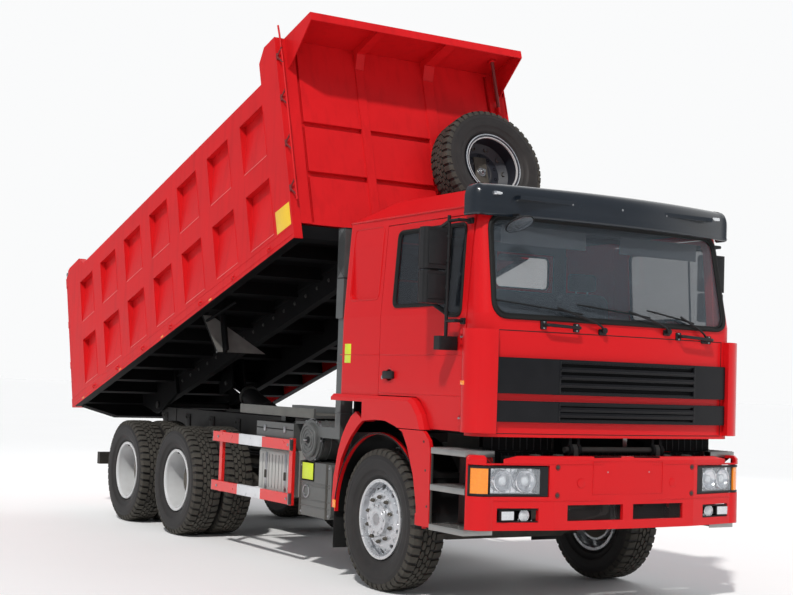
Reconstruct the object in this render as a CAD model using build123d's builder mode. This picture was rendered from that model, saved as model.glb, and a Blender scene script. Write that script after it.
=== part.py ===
from build123d import *
import os
from math import asin, atan2, cos, degrees, hypot, radians, sin, sqrt

# A three-axle dump truck with its bed partly raised, in millimetres.
# +X is the truck's left, -Y is forward and +Z is up. The ground is z = 0.
# Stations along the truck are given as distances behind the front axle, and
# aft() turns such a distance into Y. Stations in the tipped bed are given
# along its floor from the rear edge (s) and square to its floor (h).

os.makedirs("parts", exist_ok=True)

# ---------------------------------------------------------------- dimensions
# running gear
tyre_radius = 530
tyre_width = 300
rim_seat_radius = 284
rim_flange_radius = 300
rim_half_width = 118
rim_wall = 12
seat_clearance = 0.3
wheelbase = 3800
bogie_spacing = 1350
front_track_half = 1025
rear_track_half = 915
dual_spacing = 330
kingpin_x = 880
kingpin_radius = 22
spindle_radius = 40
running_clearance = 0.05
swing_gap = 5

# chassis
rail_outer_x = 430
rail_height = 300
rail_flange = 80
rail_wall = 8
rail_top = 1000
rail_front = -1180
subframe_height = 184
subframe_front = 1150
rail_rear = wheelbase + bogie_spacing + 850

# bed
bed_tip = 16.44
hinge_station = rail_rear + 102
hinge_z = 1204
hinge_radius = 40
rear_overhang = 700
hinge_drop = 150
bed_half_width = 1232
bed_wall = 82
bed_length = 5590
board_set = 12
rail_band = 195
rear_post_s = 400
bed_floor_h = 120
bed_floor_wall = 12
bed_beam_drop = 160
bed_beam_x = 370
bed_beam_width = 80
gate_depth = 95
gate_top_h = 1600
bed_front_s = bed_length + 60
canopy_tip_s = bed_front_s + 485
front_post_s = bed_front_s - 329
bed_rail_h = gate_top_h - 15
post_h = gate_top_h + 90
front_post_h = gate_top_h + 295

# hoist
hoist_base_station = wheelbase - 800
hoist_base_z = 820
hoist_pin_s = 1700
hoist_pin_h = -150
barrel_radius = 100
rod_radius = 45

# cab
cab_half_width = 1172
cab_top_half_width = 1122
cab_front = -1375
cab_corner = -1300
cab_top_front = -1245
cab_top_corner = -1165
cab_rear = 650
cab_floor_z = 1215
cab_arch_z = 1462
cab_arch_station = -404
belt_z = 2055
eaves_z = 2815
roof_top_z = 2958
cab_wall = 30
cab_pivot_station = -1330
cab_pivot_z = 1130
door_front = -1117
door_rear = 30
door_gap = 6
glass_inset = 10
glass_wall = 6
mirror_reach = 1425

# bumper
bumper_reach = 1492
bumper_half_width = 1240
bumper_low = 590
bumper_top = 1092
bumper_wall = 30

# ---------------------------------------------------------- shared reference
tip = radians(bed_tip)
bed_rear_station = hinge_station + rear_overhang * cos(tip) + hinge_drop * sin(tip)
bed_rear_z = hinge_z - rear_overhang * sin(tip) + hinge_drop * cos(tip)
rear_reach = bed_rear_station + gate_depth * cos(tip) + gate_top_h * sin(tip)
front_axle_y = (bumper_reach - rear_reach) / 2
hub_z = tyre_radius


def aft(distance):
    """Y of a station behind the front axle."""
    return front_axle_y + distance


bed_plane = Plane(
    origin=(0, aft(bed_rear_station), bed_rear_z),
    x_dir=(1, 0, 0),
    z_dir=(0, sin(tip), cos(tip)),
)


def bed_point(x, s, h):
    """Row-frame point of a place in the tipped bed."""
    return bed_plane.from_local_coords((x, -s, h))


def bed_beside(x):
    """Plane square to X at x, its own x rearward along the bed floor and its y square to the floor."""
    return Plane(origin=bed_point(x, 0, 0), x_dir=bed_plane.y_dir, z_dir=(1, 0, 0))


def bed_across(s):
    """Plane across the bed at s, facing forward, its x the truck's X and its y square to the floor."""
    return Plane(origin=bed_point(0, s, 0), x_dir=(1, 0, 0), z_dir=-bed_plane.y_dir)


def block(x, y, z, mode=Mode.ADD):
    """A box between two limits on each axis of the open part's own plane."""
    middle = [(a + b) / 2 for a, b in (x, y, z)]
    with Locations(tuple(middle)):
        Box(abs(x[1] - x[0]), abs(y[1] - y[0]), abs(z[1] - z[0]), mode=mode)


def bed_block(x, s, h, mode=Mode.ADD):
    """A box in a part that is built on bed_plane."""
    block(x, (-s[0], -s[1]), h, mode)


def bar(start, end, radius, mode=Mode.ADD):
    """A round bar between two points."""
    run = Vector(*end) - Vector(*start)
    with Locations(Plane(origin=start, z_dir=run)):
        Cylinder(radius, run.length, align=(Align.CENTER, Align.CENTER, Align.MIN), mode=mode)


def profile(plane, points, depth, mode=Mode.ADD, both=False):
    """A prism of a closed outline on a plane."""
    with BuildSketch(plane) as outline:
        with BuildLine():
            Polyline(*points, close=True)
        make_face()
    extrude(outline.sketch, amount=depth, mode=mode, both=both)


def save(part, name):
    """Label a finished piece and write it."""
    part.label = name
    export_step(part, f"parts/{name}.step")


# ------------------------------------------------------------------- wheels
def wheel_plane(x, y):
    """Plane through a wheel's axle, its x along the axle and its y up."""
    return Plane(origin=(x, y, hub_z), x_dir=(1, 0, 0), z_dir=(0, -1, 0))


def axle_line(y):
    return Axis((0, y, hub_z), (1, 0, 0))


tyre_bead = rim_half_width - 4
tyre_half = tyre_width / 2


def tyre_outline(x, y):
    """Section of one tyre: bead, bulging side wall, shoulder and crowned tread."""
    bead_radius = rim_seat_radius + seat_clearance
    flange_top = rim_flange_radius + seat_clearance
    with BuildSketch(wheel_plane(x, y)) as section:
        with BuildLine():
            Line((-tyre_bead + 20, bead_radius), (tyre_bead - 20, bead_radius))
            Line((tyre_bead - 20, bead_radius), (tyre_bead - 20, flange_top))
            ThreePointArc((tyre_bead - 20, flange_top), (tyre_half, 410), (tyre_half - 14, 500))
            Line((tyre_half - 14, 500), (tyre_half - 22, tyre_radius - 9))
            ThreePointArc(
                (tyre_half - 22, tyre_radius - 9), (0, tyre_radius), (22 - tyre_half, tyre_radius - 9)
            )
            Line((22 - tyre_half, tyre_radius - 9), (14 - tyre_half, 500))
            ThreePointArc((14 - tyre_half, 500), (-tyre_half, 410), (20 - tyre_bead, flange_top))
            Line((20 - tyre_bead, flange_top), (20 - tyre_bead, bead_radius))
        make_face()
    return section.sketch


def rim_outline(x, y, side):
    """Section of one rim: its drop-centre barrel and two flanges."""
    inner = rim_seat_radius - rim_wall
    flange = rim_half_width - 14
    with BuildSketch(wheel_plane(x, y)) as section:
        with BuildLine():
            Polyline(
                (-rim_half_width, inner + 4),
                (-rim_half_width, rim_flange_radius),
                (-flange + 2, rim_flange_radius),
                (-flange + 8, rim_seat_radius),
                (flange - 8, rim_seat_radius),
                (flange - 2, rim_flange_radius),
                (rim_half_width, rim_flange_radius),
                (rim_half_width, inner + 4),
                (flange, inner),
                (-flange, inner),
                close=True,
            )
        make_face()
    return section.sketch


def disc_outline(x, y, side, points):
    """A closed section given as (distance outward, radius) pairs."""
    with BuildSketch(wheel_plane(x, y)) as section:
        with BuildLine():
            Polyline(*[(side * a, r) for a, r in points], close=True)
        make_face()
    return section.sketch


vent_count = 10
front_disc = (
    # outward, radius
    (62, 274),
    (108, 200),
    (108, 128),
    (142, 120),
    (142, 0),
    (100, 0),
    (100, spindle_radius + running_clearance),
    (-56, spindle_radius + running_clearance),
    (-56, 92),
    (60, 110),
    (92, 120),
    (92, 196),
    (44, 274),
)
front_drum = (
    # outward, radius
    (92, 150),
    (92, 214),
    (-86, 214),
    (-86, 196),
    (72, 196),
    (72, 150),
)
rear_axle_end = 50
rear_disc = (
    # outward from the pair's middle, radius
    (8, 274),
    (8, 150),
    (120, 132),
    (150, 120),
    (150, 0),
    (110, 0),
    (110, rear_axle_end + running_clearance),
    (-170, rear_axle_end + running_clearance),
    (-170, 100),
    (-8, 120),
    (-8, 274),
)
rear_drum = (
    # outward from the pair's middle, radius
    (-8, 150),
    (-8, 216),
    (-170, 216),
    (-170, 196),
    (-26, 196),
    (-26, 150),
)

for name, side in (("right", -1), ("left", 1)):
    hub_x = side * front_track_half
    y = aft(0)
    with BuildPart() as front_tyre:
        revolve(tyre_outline(hub_x, y), axle_line(y))
    save(front_tyre.part, f"front_tyre_{name}")

    with BuildPart() as front_rim:
        revolve(rim_outline(hub_x, y, side), axle_line(y))
        revolve(disc_outline(hub_x, y, side, front_disc), axle_line(y))
        revolve(disc_outline(hub_x, y, side, front_drum), axle_line(y))
        with Locations(Plane(origin=(hub_x, y, hub_z), z_dir=(side, 0, 0))):
            with PolarLocations(238, vent_count):
                Cylinder(20, 260, mode=Mode.SUBTRACT)
    save(front_rim.part, f"front_rim_{name}")

for axle, station in (("mid", wheelbase), ("rear", wheelbase + bogie_spacing)):
    for name, side in (("right", -1), ("left", 1)):
        hub_x = side * rear_track_half
        y = aft(station)
        with BuildPart() as dual_tyres:
            for twin in (-dual_spacing / 2, dual_spacing / 2):
                revolve(tyre_outline(hub_x + twin, y), axle_line(y))
        save(dual_tyres.part, f"{axle}_tyres_{name}")

        with BuildPart() as dual_rims:
            for twin in (-dual_spacing / 2, dual_spacing / 2):
                revolve(rim_outline(hub_x + twin, y, side), axle_line(y))
            revolve(disc_outline(hub_x, y, side, rear_disc), axle_line(y))
            revolve(disc_outline(hub_x, y, side, rear_drum), axle_line(y))
            # the two rims meet at the shared disc
            meeting = dual_spacing / 2 - rim_half_width
            band = ((-meeting - 6, 262), (-meeting - 6, 286), (meeting + 6, 286), (meeting + 6, 262))
            revolve(disc_outline(hub_x, y, 1, band), axle_line(y))
            with Locations(Plane(origin=(hub_x, y, hub_z), z_dir=(side, 0, 0))):
                with PolarLocations(238, vent_count):
                    Cylinder(20, 60, mode=Mode.SUBTRACT)
        save(dual_rims.part, f"{axle}_rims_{name}")

# spare wheel, flat against the headboard with its dish forward
spare_x = 725
spare_h = 765
spare_s = bed_front_s + 215
spare_plane = Plane(origin=bed_point(spare_x, spare_s, spare_h), x_dir=-bed_plane.y_dir, z_dir=(1, 0, 0))
spare_axis = Axis(spare_plane.origin, spare_plane.x_dir)
with BuildPart() as spare_tyre:
    with BuildSketch(spare_plane) as section:
        add(wheel_plane(0, 0).to_local_coords(tyre_outline(0, 0)))
    revolve(section.sketch, spare_axis)
save(spare_tyre.part, "spare_tyre")

spare_disc = (
    # forward, radius
    (-62, 274),
    (-108, 200),
    (-108, 0),
    (-90, 0),
    (-90, 196),
    (-44, 274),
)
with BuildPart() as spare_rim:
    with BuildSketch(spare_plane) as section:
        add(wheel_plane(0, 0).to_local_coords(rim_outline(0, 0, 1)))
        add(wheel_plane(0, 0).to_local_coords(disc_outline(0, 0, 1, spare_disc)))
    revolve(section.sketch, spare_axis)
    # carrier stub between the disc and the headboard
    bar(
        bed_point(spare_x, bed_front_s - board_set, spare_h),
        bed_point(spare_x, spare_s - 100, spare_h),
        80,
    )
save(spare_rim.part, "spare_rim")


# ---------------------------------------------------------------- steering
yoke_gap = 2.5
yoke_reach = 80
yoke_thick = 34
yoke_plate = 26
boss_radius = 45
tie_rod_drop = 126
tie_rod_set = 190
tie_rod_radius = 20
tie_pin_radius = 12
tie_eye_radius = 24

for name, side in (("right", -1), ("left", 1)):
    pin_x = side * kingpin_x
    y = aft(0)
    with BuildPart() as knuckle:
        for level in (-1, 1):
            near = level * (yoke_reach + yoke_gap)
            far = near + level * yoke_thick
            block((pin_x - side * 50, pin_x + side * 84), (y - 50, y + 50), (hub_z + near, hub_z + far))
        # upright that joins the two yokes outside the axle's boss
        tall = yoke_reach + yoke_gap + yoke_thick
        plate = pin_x + side * 84
        block((plate - side * yoke_plate, plate), (y - 60, y + 60), (hub_z - tall, hub_z + tall))
        bar((pin_x, y, hub_z - tall), (pin_x, y, hub_z + tall), kingpin_radius)
        bar((plate, y, hub_z), (side * front_track_half + side * 98, y, hub_z), spindle_radius)
        # steering arm back to the tie rod, with its ball pin standing down
        arm_x = pin_x
        arm_low = hub_z - tall
        profile(
            Plane.XY.offset(arm_low),
            (
                (pin_x + side * 40, y + 30),
                (pin_x - side * 30, y + 30),
                (arm_x - side * 26, y + tie_rod_set - 20),
                (arm_x - side * 26, y + tie_rod_set + 26),
                (arm_x + side * 26, y + tie_rod_set + 26),
                (pin_x + side * 40, y + 90),
            ),
            26,
        )
        bar(
            (arm_x, y + tie_rod_set, hub_z - tie_rod_drop - tie_rod_radius - 14),
            (arm_x, y + tie_rod_set, arm_low),
            tie_pin_radius,
        )
    save(knuckle.part, f"knuckle_{name}")

tie_rod_end = kingpin_x
tie_rod_z = hub_z - tie_rod_drop - tie_rod_radius
with BuildPart() as tie_rod:
    bar(
        (-tie_rod_end, aft(tie_rod_set), tie_rod_z - 12),
        (tie_rod_end, aft(tie_rod_set), tie_rod_z - 12),
        tie_rod_radius,
    )
    for side in (-1, 1):
        with Locations((side * tie_rod_end, aft(tie_rod_set), tie_rod_z - 10)):
            Cylinder(tie_eye_radius, 44)
            Cylinder(tie_pin_radius + running_clearance, 60, mode=Mode.SUBTRACT)
save(tie_rod.part, "tie_rod")

beam_half_height = 55
beam_half_width = 45
beam_drop = 110
with BuildPart() as front_axle:
    high, low = hub_z, hub_z - beam_drop
    top = (
        (-kingpin_x, high + beam_half_height),
        (-kingpin_x + 130, high + beam_half_height),
        (-560, low + beam_half_height),
        (560, low + beam_half_height),
        (kingpin_x - 130, high + beam_half_height),
        (kingpin_x, high + beam_half_height),
    )
    bottom = tuple((x, z - 2 * beam_half_height) for x, z in reversed(top))
    profile(Plane.XZ.offset(-aft(0)), top + bottom, beam_half_width, both=True)
    for side in (-1, 1):
        with Locations((side * kingpin_x, aft(0), hub_z)):
            Cylinder(boss_radius, 2 * yoke_reach)
            Cylinder(kingpin_radius + running_clearance, 2 * yoke_reach + 2, mode=Mode.SUBTRACT)
save(front_axle.part, "front_axle")

# ----------------------------------------------------------- rear running gear
banjo_radius = 205
axle_tube_radius = 72
nose_reach = 330
pinion_rise = 120
pinion_z = hub_z + pinion_rise
axle_stations = (wheelbase, wheelbase + bogie_spacing)
axle_tube_half = rear_track_half - 180
with BuildPart() as drive_axles:
    for station in axle_stations:
        y = aft(station)
        bar((-axle_tube_half, y, hub_z), (axle_tube_half, y, hub_z), axle_tube_radius)
        for side in (-1, 1):
            inner = side * axle_tube_half
            bar((inner, y, hub_z), (side * (rear_track_half + 108), y, hub_z), rear_axle_end)
            # spring pads on the tube
            block((side * 455, side * 555), (y - 70, y + 70), (hub_z + 40, hub_z + 110))
        bar((0, y - 120, hub_z), (0, y + 110, hub_z), banjo_radius)
        # pinion housing, raised so that the shafts pass over the bogie's trunnion
        bar((0, y - 120, pinion_z), (0, y + 110, pinion_z), 110)
        with Locations(Plane(origin=(0, y - 120, pinion_z), z_dir=(0, -1, 0))):
            Cone(110, 75, nose_reach - 120, align=(Align.CENTER, Align.CENTER, Align.MIN))
save(drive_axles.part, "drive_axles")

bogie_station = wheelbase + bogie_spacing / 2
spring_x = 505
spring_width = 90
front_spring_x = 430
with BuildPart() as leaf_springs:
    for side in (-1, 1):
        # front spring: a leaf stack slung under the rail between two hangers
        seat = hub_z - beam_drop + beam_half_height
        profile(
            Plane.YZ.offset(side * front_spring_x - 40),
            (
                (aft(-720), seat + 140),
                (aft(-400), seat + 40),
                (aft(-160), seat),
                (aft(160), seat),
                (aft(400), seat + 40),
                (aft(720), seat + 140),
                (aft(720), seat + 168),
                (aft(160), seat + 92),
                (aft(-160), seat + 92),
                (aft(-720), seat + 168),
            ),
            80,
        )
        for station in (-700, 700):
            block(
                (side * front_spring_x - 30, side * front_spring_x + 30),
                (aft(station - 40), aft(station + 40)),
                (seat + 150, rail_top - rail_height),
            )
        # bogie spring: an inverted stack on the trunnion between the two drive axles
        pad = hub_z + 110
        reach = bogie_spacing / 2 + 90
        profile(
            Plane.YZ.offset(side * spring_x - spring_width / 2),
            (
                (aft(bogie_station - reach), pad),
                (aft(bogie_station - reach + 180), pad),
                (aft(bogie_station - 120), pad - 60),
                (aft(bogie_station + 120), pad - 60),
                (aft(bogie_station + reach - 180), pad),
                (aft(bogie_station + reach), pad),
                (aft(bogie_station + reach), pad + 30),
                (aft(bogie_station + 150), pad + 100),
                (aft(bogie_station - 150), pad + 100),
                (aft(bogie_station - reach), pad + 30),
            ),
            spring_width,
        )
        block(
            (side * spring_x - 55, side * spring_x + 55),
            (aft(bogie_station - 110), aft(bogie_station + 110)),
            (hub_z - 90, pad - 60),
        )
    bar((-570, aft(bogie_station), hub_z - 20), (570, aft(bogie_station), hub_z - 20), 55)
    for side in (-1, 1):
        profile(
            Plane.YZ.offset(side * 400 - 15),
            (
                (aft(bogie_station - 90), hub_z - 90),
                (aft(bogie_station + 90), hub_z - 90),
                (aft(bogie_station + 240), rail_top - rail_height),
                (aft(bogie_station - 240), rail_top - rail_height),
            ),
            30,
        )
save(leaf_springs.part, "leaf_springs")

# -------------------------------------------------------------------- chassis
cross_stations = (-1120, 1300, hoist_base_station - 750, bogie_station, rail_rear - 600)
with BuildPart() as chassis_frame:
    length = rail_rear - rail_front
    for side in (-1, 1):
        outer = side * rail_outer_x
        block(
            (outer, outer - side * rail_flange),
            (aft(rail_front), aft(rail_rear)),
            (rail_top - rail_height, rail_top),
        )
        block(
            (outer - side * rail_wall, outer - side * (rail_flange + 1)),
            (aft(rail_front) - 1, aft(rail_rear) + 1),
            (rail_top - rail_height + rail_wall, rail_top - rail_wall),
            Mode.SUBTRACT,
        )
    web = rail_outer_x - rail_wall - seat_clearance
    deck = rail_top - rail_wall - seat_clearance
    for station in cross_stations:
        block((-web, web), (aft(station - 45), aft(station + 45)), (rail_top - 150, deck))
    # rear cross-member with the tow coupling
    block(
        (-web, web),
        (aft(rail_rear - 60), aft(rail_rear)),
        (rail_top - rail_height + rail_wall + seat_clearance, deck),
    )
    tow_z = rail_top - 160
    block((-90, 90), (aft(rail_rear), aft(rail_rear + 20)), (tow_z - 110, tow_z + 110))
    for level in (-1, 1):
        near = tow_z + level * 35
        block((-55, 55), (aft(rail_rear + 20), aft(rail_rear + 120)), (near, near + level * 25))
    with Locations((0, aft(rail_rear + 80), tow_z)):
        Cylinder(20, 160, mode=Mode.SUBTRACT)
    # cross-member and ears that carry the hoist's base
    ear_station = hoist_base_station
    block(
        (-web, web),
        (aft(ear_station - 190), aft(ear_station - 120)),
        (rail_top - 240, deck),
    )
    for side in (-1, 1):
        profile(
            Plane.YZ.offset(side * 95 - 15),
            (
                (aft(ear_station - 130), hoist_base_z - 60),
                (aft(ear_station + 40), hoist_base_z - 60),
                (aft(ear_station + 60), hoist_base_z),
                (aft(ear_station + 40), hoist_base_z + 60),
                (aft(ear_station - 130), hoist_base_z + 100),
            ),
            30,
        )
    bar((-110, aft(ear_station), hoist_base_z), (110, aft(ear_station), hoist_base_z), 35)
    # front ends of the rails reach the bumper and the cab's tilt pivots
    for side in (-1, 1):
        block((side * 330, side * 430), (aft(rail_front - 190), aft(rail_front)), (rail_top - 260, rail_top - 40))
        profile(
            Plane.YZ.offset(side * 380 - 20),
            (
                (aft(cab_pivot_station - 38), rail_top - 60),
                (aft(cab_pivot_station + 60), rail_top - 60),
                (aft(cab_pivot_station + 40), cab_pivot_z + 10),
                (aft(cab_pivot_station + 20), cab_pivot_z + 40),
                (aft(cab_pivot_station - 20), cab_pivot_z + 40),
                (aft(cab_pivot_station - 40), cab_pivot_z + 10),
            ),
            40,
        )
    bar((-455, aft(cab_pivot_station), cab_pivot_z), (455, aft(cab_pivot_station), cab_pivot_z), 22)
save(chassis_frame.part, "chassis_frame")

subframe_top = rail_top + subframe_height
tongue_radius = 58
with BuildPart() as tipper_subframe:
    for side in (-1, 1):
        outer = side * rail_outer_x
        block(
            (outer, outer - side * rail_flange),
            (aft(subframe_front), aft(hinge_station - 110)),
            (rail_top, subframe_top),
        )
        profile(
            Plane.YZ.offset(side * 412 - 22),
            (
                (aft(hinge_station - 420), rail_top),
                (aft(hinge_station - 60), rail_top),
                (aft(hinge_station + 54), hinge_z - 20),
                (aft(hinge_station + 54), hinge_z + 10),
                (aft(hinge_station - 30), hinge_z + 40),
                (aft(hinge_station - 80), subframe_top),
                (aft(hinge_station - 420), subframe_top),
            ),
            44,
        )
        bar((side * 390, aft(hinge_station), hinge_z), (side * 434, aft(hinge_station), hinge_z), tongue_radius)
    inner = rail_outer_x - rail_flange
    for station in (subframe_front + 60, hoist_base_station - 750, hinge_station - 602):
        block((-inner, inner), (aft(station - 40), aft(station + 40)), (rail_top + 10, subframe_top - 30))
    bar((-500, aft(hinge_station), hinge_z), (500, aft(hinge_station), hinge_z), hinge_radius)
save(tipper_subframe.part, "tipper_subframe")

# --------------------------------------------------------- engine and drive line
gearbox_rear = 1180
shaft_radius = 50
with BuildPart() as engine:
    # one plain block with sump, gearbox and radiator, at its real place and size
    block((-310, 310), (aft(-640), aft(360)), (640, 1380))
    block((-170, 170), (aft(-500), aft(250)), (560, 640))
    block((-230, 230), (aft(360), aft(560)), (640, 1080))
    block((-180, 180), (aft(560), aft(gearbox_rear)), (620, 960))
    block((-310, 310), (aft(-1040), aft(-960)), (rail_top - 140, 1420))
    block((-200, 200), (aft(-960), aft(-640)), (860, 1240))
    # mounting feet that stand on the rails
    block((-rail_outer_x, rail_outer_x), (aft(-200), aft(-80)), (rail_top + seat_clearance, rail_top + 60))
save(engine.part, "engine")

shaft_flange = 60
shaft_ends = (
    # start station and height, end station and height
    (gearbox_rear, 780, wheelbase - nose_reach, pinion_z),
    (wheelbase + 110, pinion_z, wheelbase + bogie_spacing - nose_reach, pinion_z),
)
with BuildPart() as propeller_shafts:
    for start, start_z, end, end_z in shaft_ends:
        first = aft(start + seat_clearance)
        last = aft(end - seat_clearance)
        bar((0, first, start_z), (0, first + 70, start_z), shaft_flange)
        bar((0, last - 70, end_z), (0, last, end_z), shaft_flange)
        bar((0, first + 35, start_z), (0, last - 35, end_z), shaft_radius)
save(propeller_shafts.part, "propeller_shafts")


# ------------------------------------------------- tanks and boxes on the rails
outer_face = 1125
rail_side = rail_outer_x + seat_clearance
tank_front = 1150
tank_rear = wheelbase - 1450
with BuildPart() as fuel_tank:
    block((rail_side + 90, outer_face), (aft(tank_front), aft(tank_rear)), (440, 980))
    fillet(fuel_tank.edges().filter_by(Axis.Y), 90)
    for station in (tank_front + 250, tank_rear - 250):
        block((rail_side, rail_side + 110), (aft(station - 35), aft(station + 35)), (700, 980))
        block((rail_side, 520), (aft(station - 35), aft(station + 35)), (880, 900))
save(fuel_tank.part, "fuel_tank")

with BuildPart() as battery_box:
    # silver box with pressed ribs, the black box over it and the platform slab on top
    block((-outer_face + 20, -760), (aft(1500), aft(2150)), (560, 950))
    fillet(battery_box.edges().filter_by(Axis.Y), 40)
    block((-outer_face + 10, -700), (aft(1500), aft(2210)), (950, 1180))
    block((-outer_face, -500), (aft(1130), aft(2540)), (1238, 1262))
    block((-outer_face, -outer_face + 20), (aft(1130), aft(2540)), (1262, 1318))
    block((-600, -500), (aft(1130), aft(2540)), (1262, 1318))
    for station in (1560, 2120):
        block((-760, -rail_side), (aft(station - 40), aft(station + 40)), (850, 930))
        block((-900, -800), (aft(station - 40), aft(station + 40)), (1180, 1238))
save(battery_box.part, "battery_box")

air_filter_radius = 172
intake_x = -1060
with BuildPart() as air_filter:
    # canister lying across the truck, its lid outward, and the tall intake behind the cab
    bar((-560, aft(1200), 1060), (-outer_face + 10, aft(1200), 1060), air_filter_radius)
    bar((-outer_face + 10, aft(1200), 1060), (-outer_face - 10, aft(1200), 1060), air_filter_radius - 30)
    block((-600, -rail_side), (aft(1140), aft(1260)), (900, 980))
    block((intake_x - 70, intake_x + 70), (aft(700), aft(810)), (2060, 2790))
    block((intake_x - 55, intake_x + 55), (aft(706), aft(790)), (1180, 2060))
    block((intake_x - 55, intake_x + 35), (aft(706), aft(1120)), (1090, 1180))
save(air_filter.part, "air_filter")

with BuildPart() as muffler:
    block((-outer_face, -640), (aft(790), aft(1340)), (440, 880))
    fillet(muffler.edges().filter_by(Axis.X), 50)
    for station in (880, 1240):
        block((-660, -rail_side), (aft(station - 35), aft(station + 35)), (705, 800))
save(muffler.part, "muffler")

guard_x = 1190
guard_front = 1420
guard_rear = wheelbase - 825
guard_levels = ((960, 1050), (510, 600))
with BuildPart() as side_guards:
    for side in (-1, 1):
        for low, high in guard_levels:
            block((side * (guard_x - 30), side * guard_x), (aft(guard_front), aft(guard_rear)), (low, high))
        for station in (guard_front + 30, guard_rear - 120):
            block(
                (side * (guard_x - 60), side * (guard_x - 30)),
                (aft(station - 30), aft(station + 30)),
                (500, 1060),
            )
        station = guard_rear - 120
        block(
            (side * rail_side, side * (guard_x - 50)),
            (aft(station - 25), aft(station + 25)),
            (960, 999),
        )
save(side_guards.part, "side_guards")

lamp_bar_z = 662
with BuildPart() as rear_bar:
    bar_station = rail_rear + seat_clearance
    bar_rear = bar_station + 195
    block((-1150, 1150), (aft(bar_rear - 80), aft(bar_rear)), (530, lamp_bar_z))
    for side in (-1, 1):
        block((side * 350, side * 430), (aft(bar_station), aft(bar_rear - 40)), (540, rail_top - 60))
        # tail lamp boxes
        block((side * 700, side * 1100), (aft(bar_rear), aft(bar_rear + 50)), (548, 648))
save(rear_bar.part, "rear_bar")

air_tank_radius = 135
with BuildPart() as air_tanks:
    for station in (wheelbase - 1160, wheelbase - 740):
        bar((rail_side + 30, aft(station), 830), (1080, aft(station), 830), air_tank_radius)
        block((rail_side, rail_side + 40), (aft(station - 60), aft(station + 60)), (760, 900))
save(air_tanks.part, "air_tanks")

# --------------------------------------------- bumper, lamps, steps and fenders
bumper_side_station = -1268
bumper_wrap_station = -1320
lamp_inner_x = 685
lamp_outer_x = 1226
lamp_low = 817
lamp_high = 1024


def bumper_plan(inset, rear):
    """Plan outline of the bumper's face, moved in by inset, closed by a straight edge at rear."""
    front = -bumper_reach
    bend_x = bumper_half_width - 150
    with BuildSketch() as plan:
        with BuildLine():
            ThreePointArc((-640, aft(front + 22)), (0, aft(front)), (640, aft(front + 22)))
            Line((640, aft(front + 22)), (bend_x, aft(front + 110)))
            for side in (1, -1):
                ThreePointArc(
                    (side * bend_x, aft(front + 110)),
                    (side * (bumper_half_width - 34), aft(bumper_wrap_station - 24)),
                    (side * bumper_half_width, aft(bumper_side_station)),
                )
                Line((side * bumper_half_width, aft(bumper_side_station)), (side * bumper_half_width, aft(rear)))
            Line((-bumper_half_width, aft(rear)), (bumper_half_width, aft(rear)))
            Line((-bend_x, aft(front + 110)), (-640, aft(front + 22)))
        make_face()
        if inset:
            offset(amount=-inset, kind=Kind.INTERSECTION)
    return plan.sketch.moved(Location((0, 0, bumper_low)))


with BuildPart() as bumper:
    extrude(bumper_plan(0, bumper_side_station + 3), amount=bumper_top - bumper_low, dir=(0, 0, 1))
    chamfer(bumper.faces().sort_by(Axis.Z)[-1].edges().filter_by(lambda e: e.center().Y < aft(-1275)), 22)
    extrude(bumper_plan(bumper_wall, -1000), amount=bumper_top - bumper_low - 22, dir=(0, 0, 1), mode=Mode.SUBTRACT)
    # the top flange is only a strip behind the face
    block((-1150, 1150), (aft(-1395), aft(-1200)), (1040, 1200), Mode.SUBTRACT)
    for side in (-1, 1):
        block(
            (side * (lamp_inner_x - 5), side * 1300),
            (aft(-1600), aft(-1285)),
            (lamp_low, lamp_high + 5),
            Mode.SUBTRACT,
        )
        # fog lamp recess and lower openings
        block((side * 755, side * 1060), (aft(-1600), aft(-1300)), (645, 740), Mode.SUBTRACT)
        block((side * 46, side * 529), (aft(-1600), aft(-1420)), (652, 760), Mode.SUBTRACT)
        # brackets back to the rails
        block((side * 340, side * 420), (aft(-1470), aft(-1370 - seat_clearance)), (rail_top - 240, rail_top - 60))
    block((-670, 670), (aft(-1440), aft(-1380 - seat_clearance)), (860, 900))
save(bumper.part, "bumper")

lamp_windows = (
    # inner x, outer x, rear station, low, high
    (lamp_inner_x, 1300, -1290, lamp_low, lamp_high),
    (760, 1055, -1300, 645, 735),
)


def lamp_blocks():
    """Boxes of the four lamp openings."""
    with BuildPart() as boxes:
        for side in (-1, 1):
            for inner_x, outer_x, rear, low, high in lamp_windows:
                block((side * inner_x, side * outer_x), (aft(-1600), aft(rear)), (low, high))
    return boxes.part


with BuildPart() as lamps:
    extrude(bumper_plan(4, bumper_side_station + 3), amount=bumper_top - bumper_low, dir=(0, 0, 1))
    extrude(bumper_plan(70, -1000), amount=bumper_top - bumper_low, dir=(0, 0, 1), mode=Mode.SUBTRACT)
    add(lamp_blocks(), mode=Mode.INTERSECT)
save(lamps.part, "lamps")

step_levels = (1115, 860, 585)
step_inner_x = 1000
step_front = -1262
step_rear = -840
with BuildPart() as steps:
    for side in (-1, 1):
        for level in step_levels:
            block(
                (side * step_inner_x, side * (bumper_half_width + 6)),
                (aft(step_front), aft(step_rear)),
                (level - 28, level),
            )
        # riser wall behind the treads and its bracket to the rail
        block((side * (step_inner_x - 14), side * step_inner_x), (aft(-1200), aft(step_rear)), (557, 1115))
        block((side * rail_side, side * (step_inner_x - 10)), (aft(-1100), aft(-1040)), (860, 930))
save(steps.part, "steps")

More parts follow.
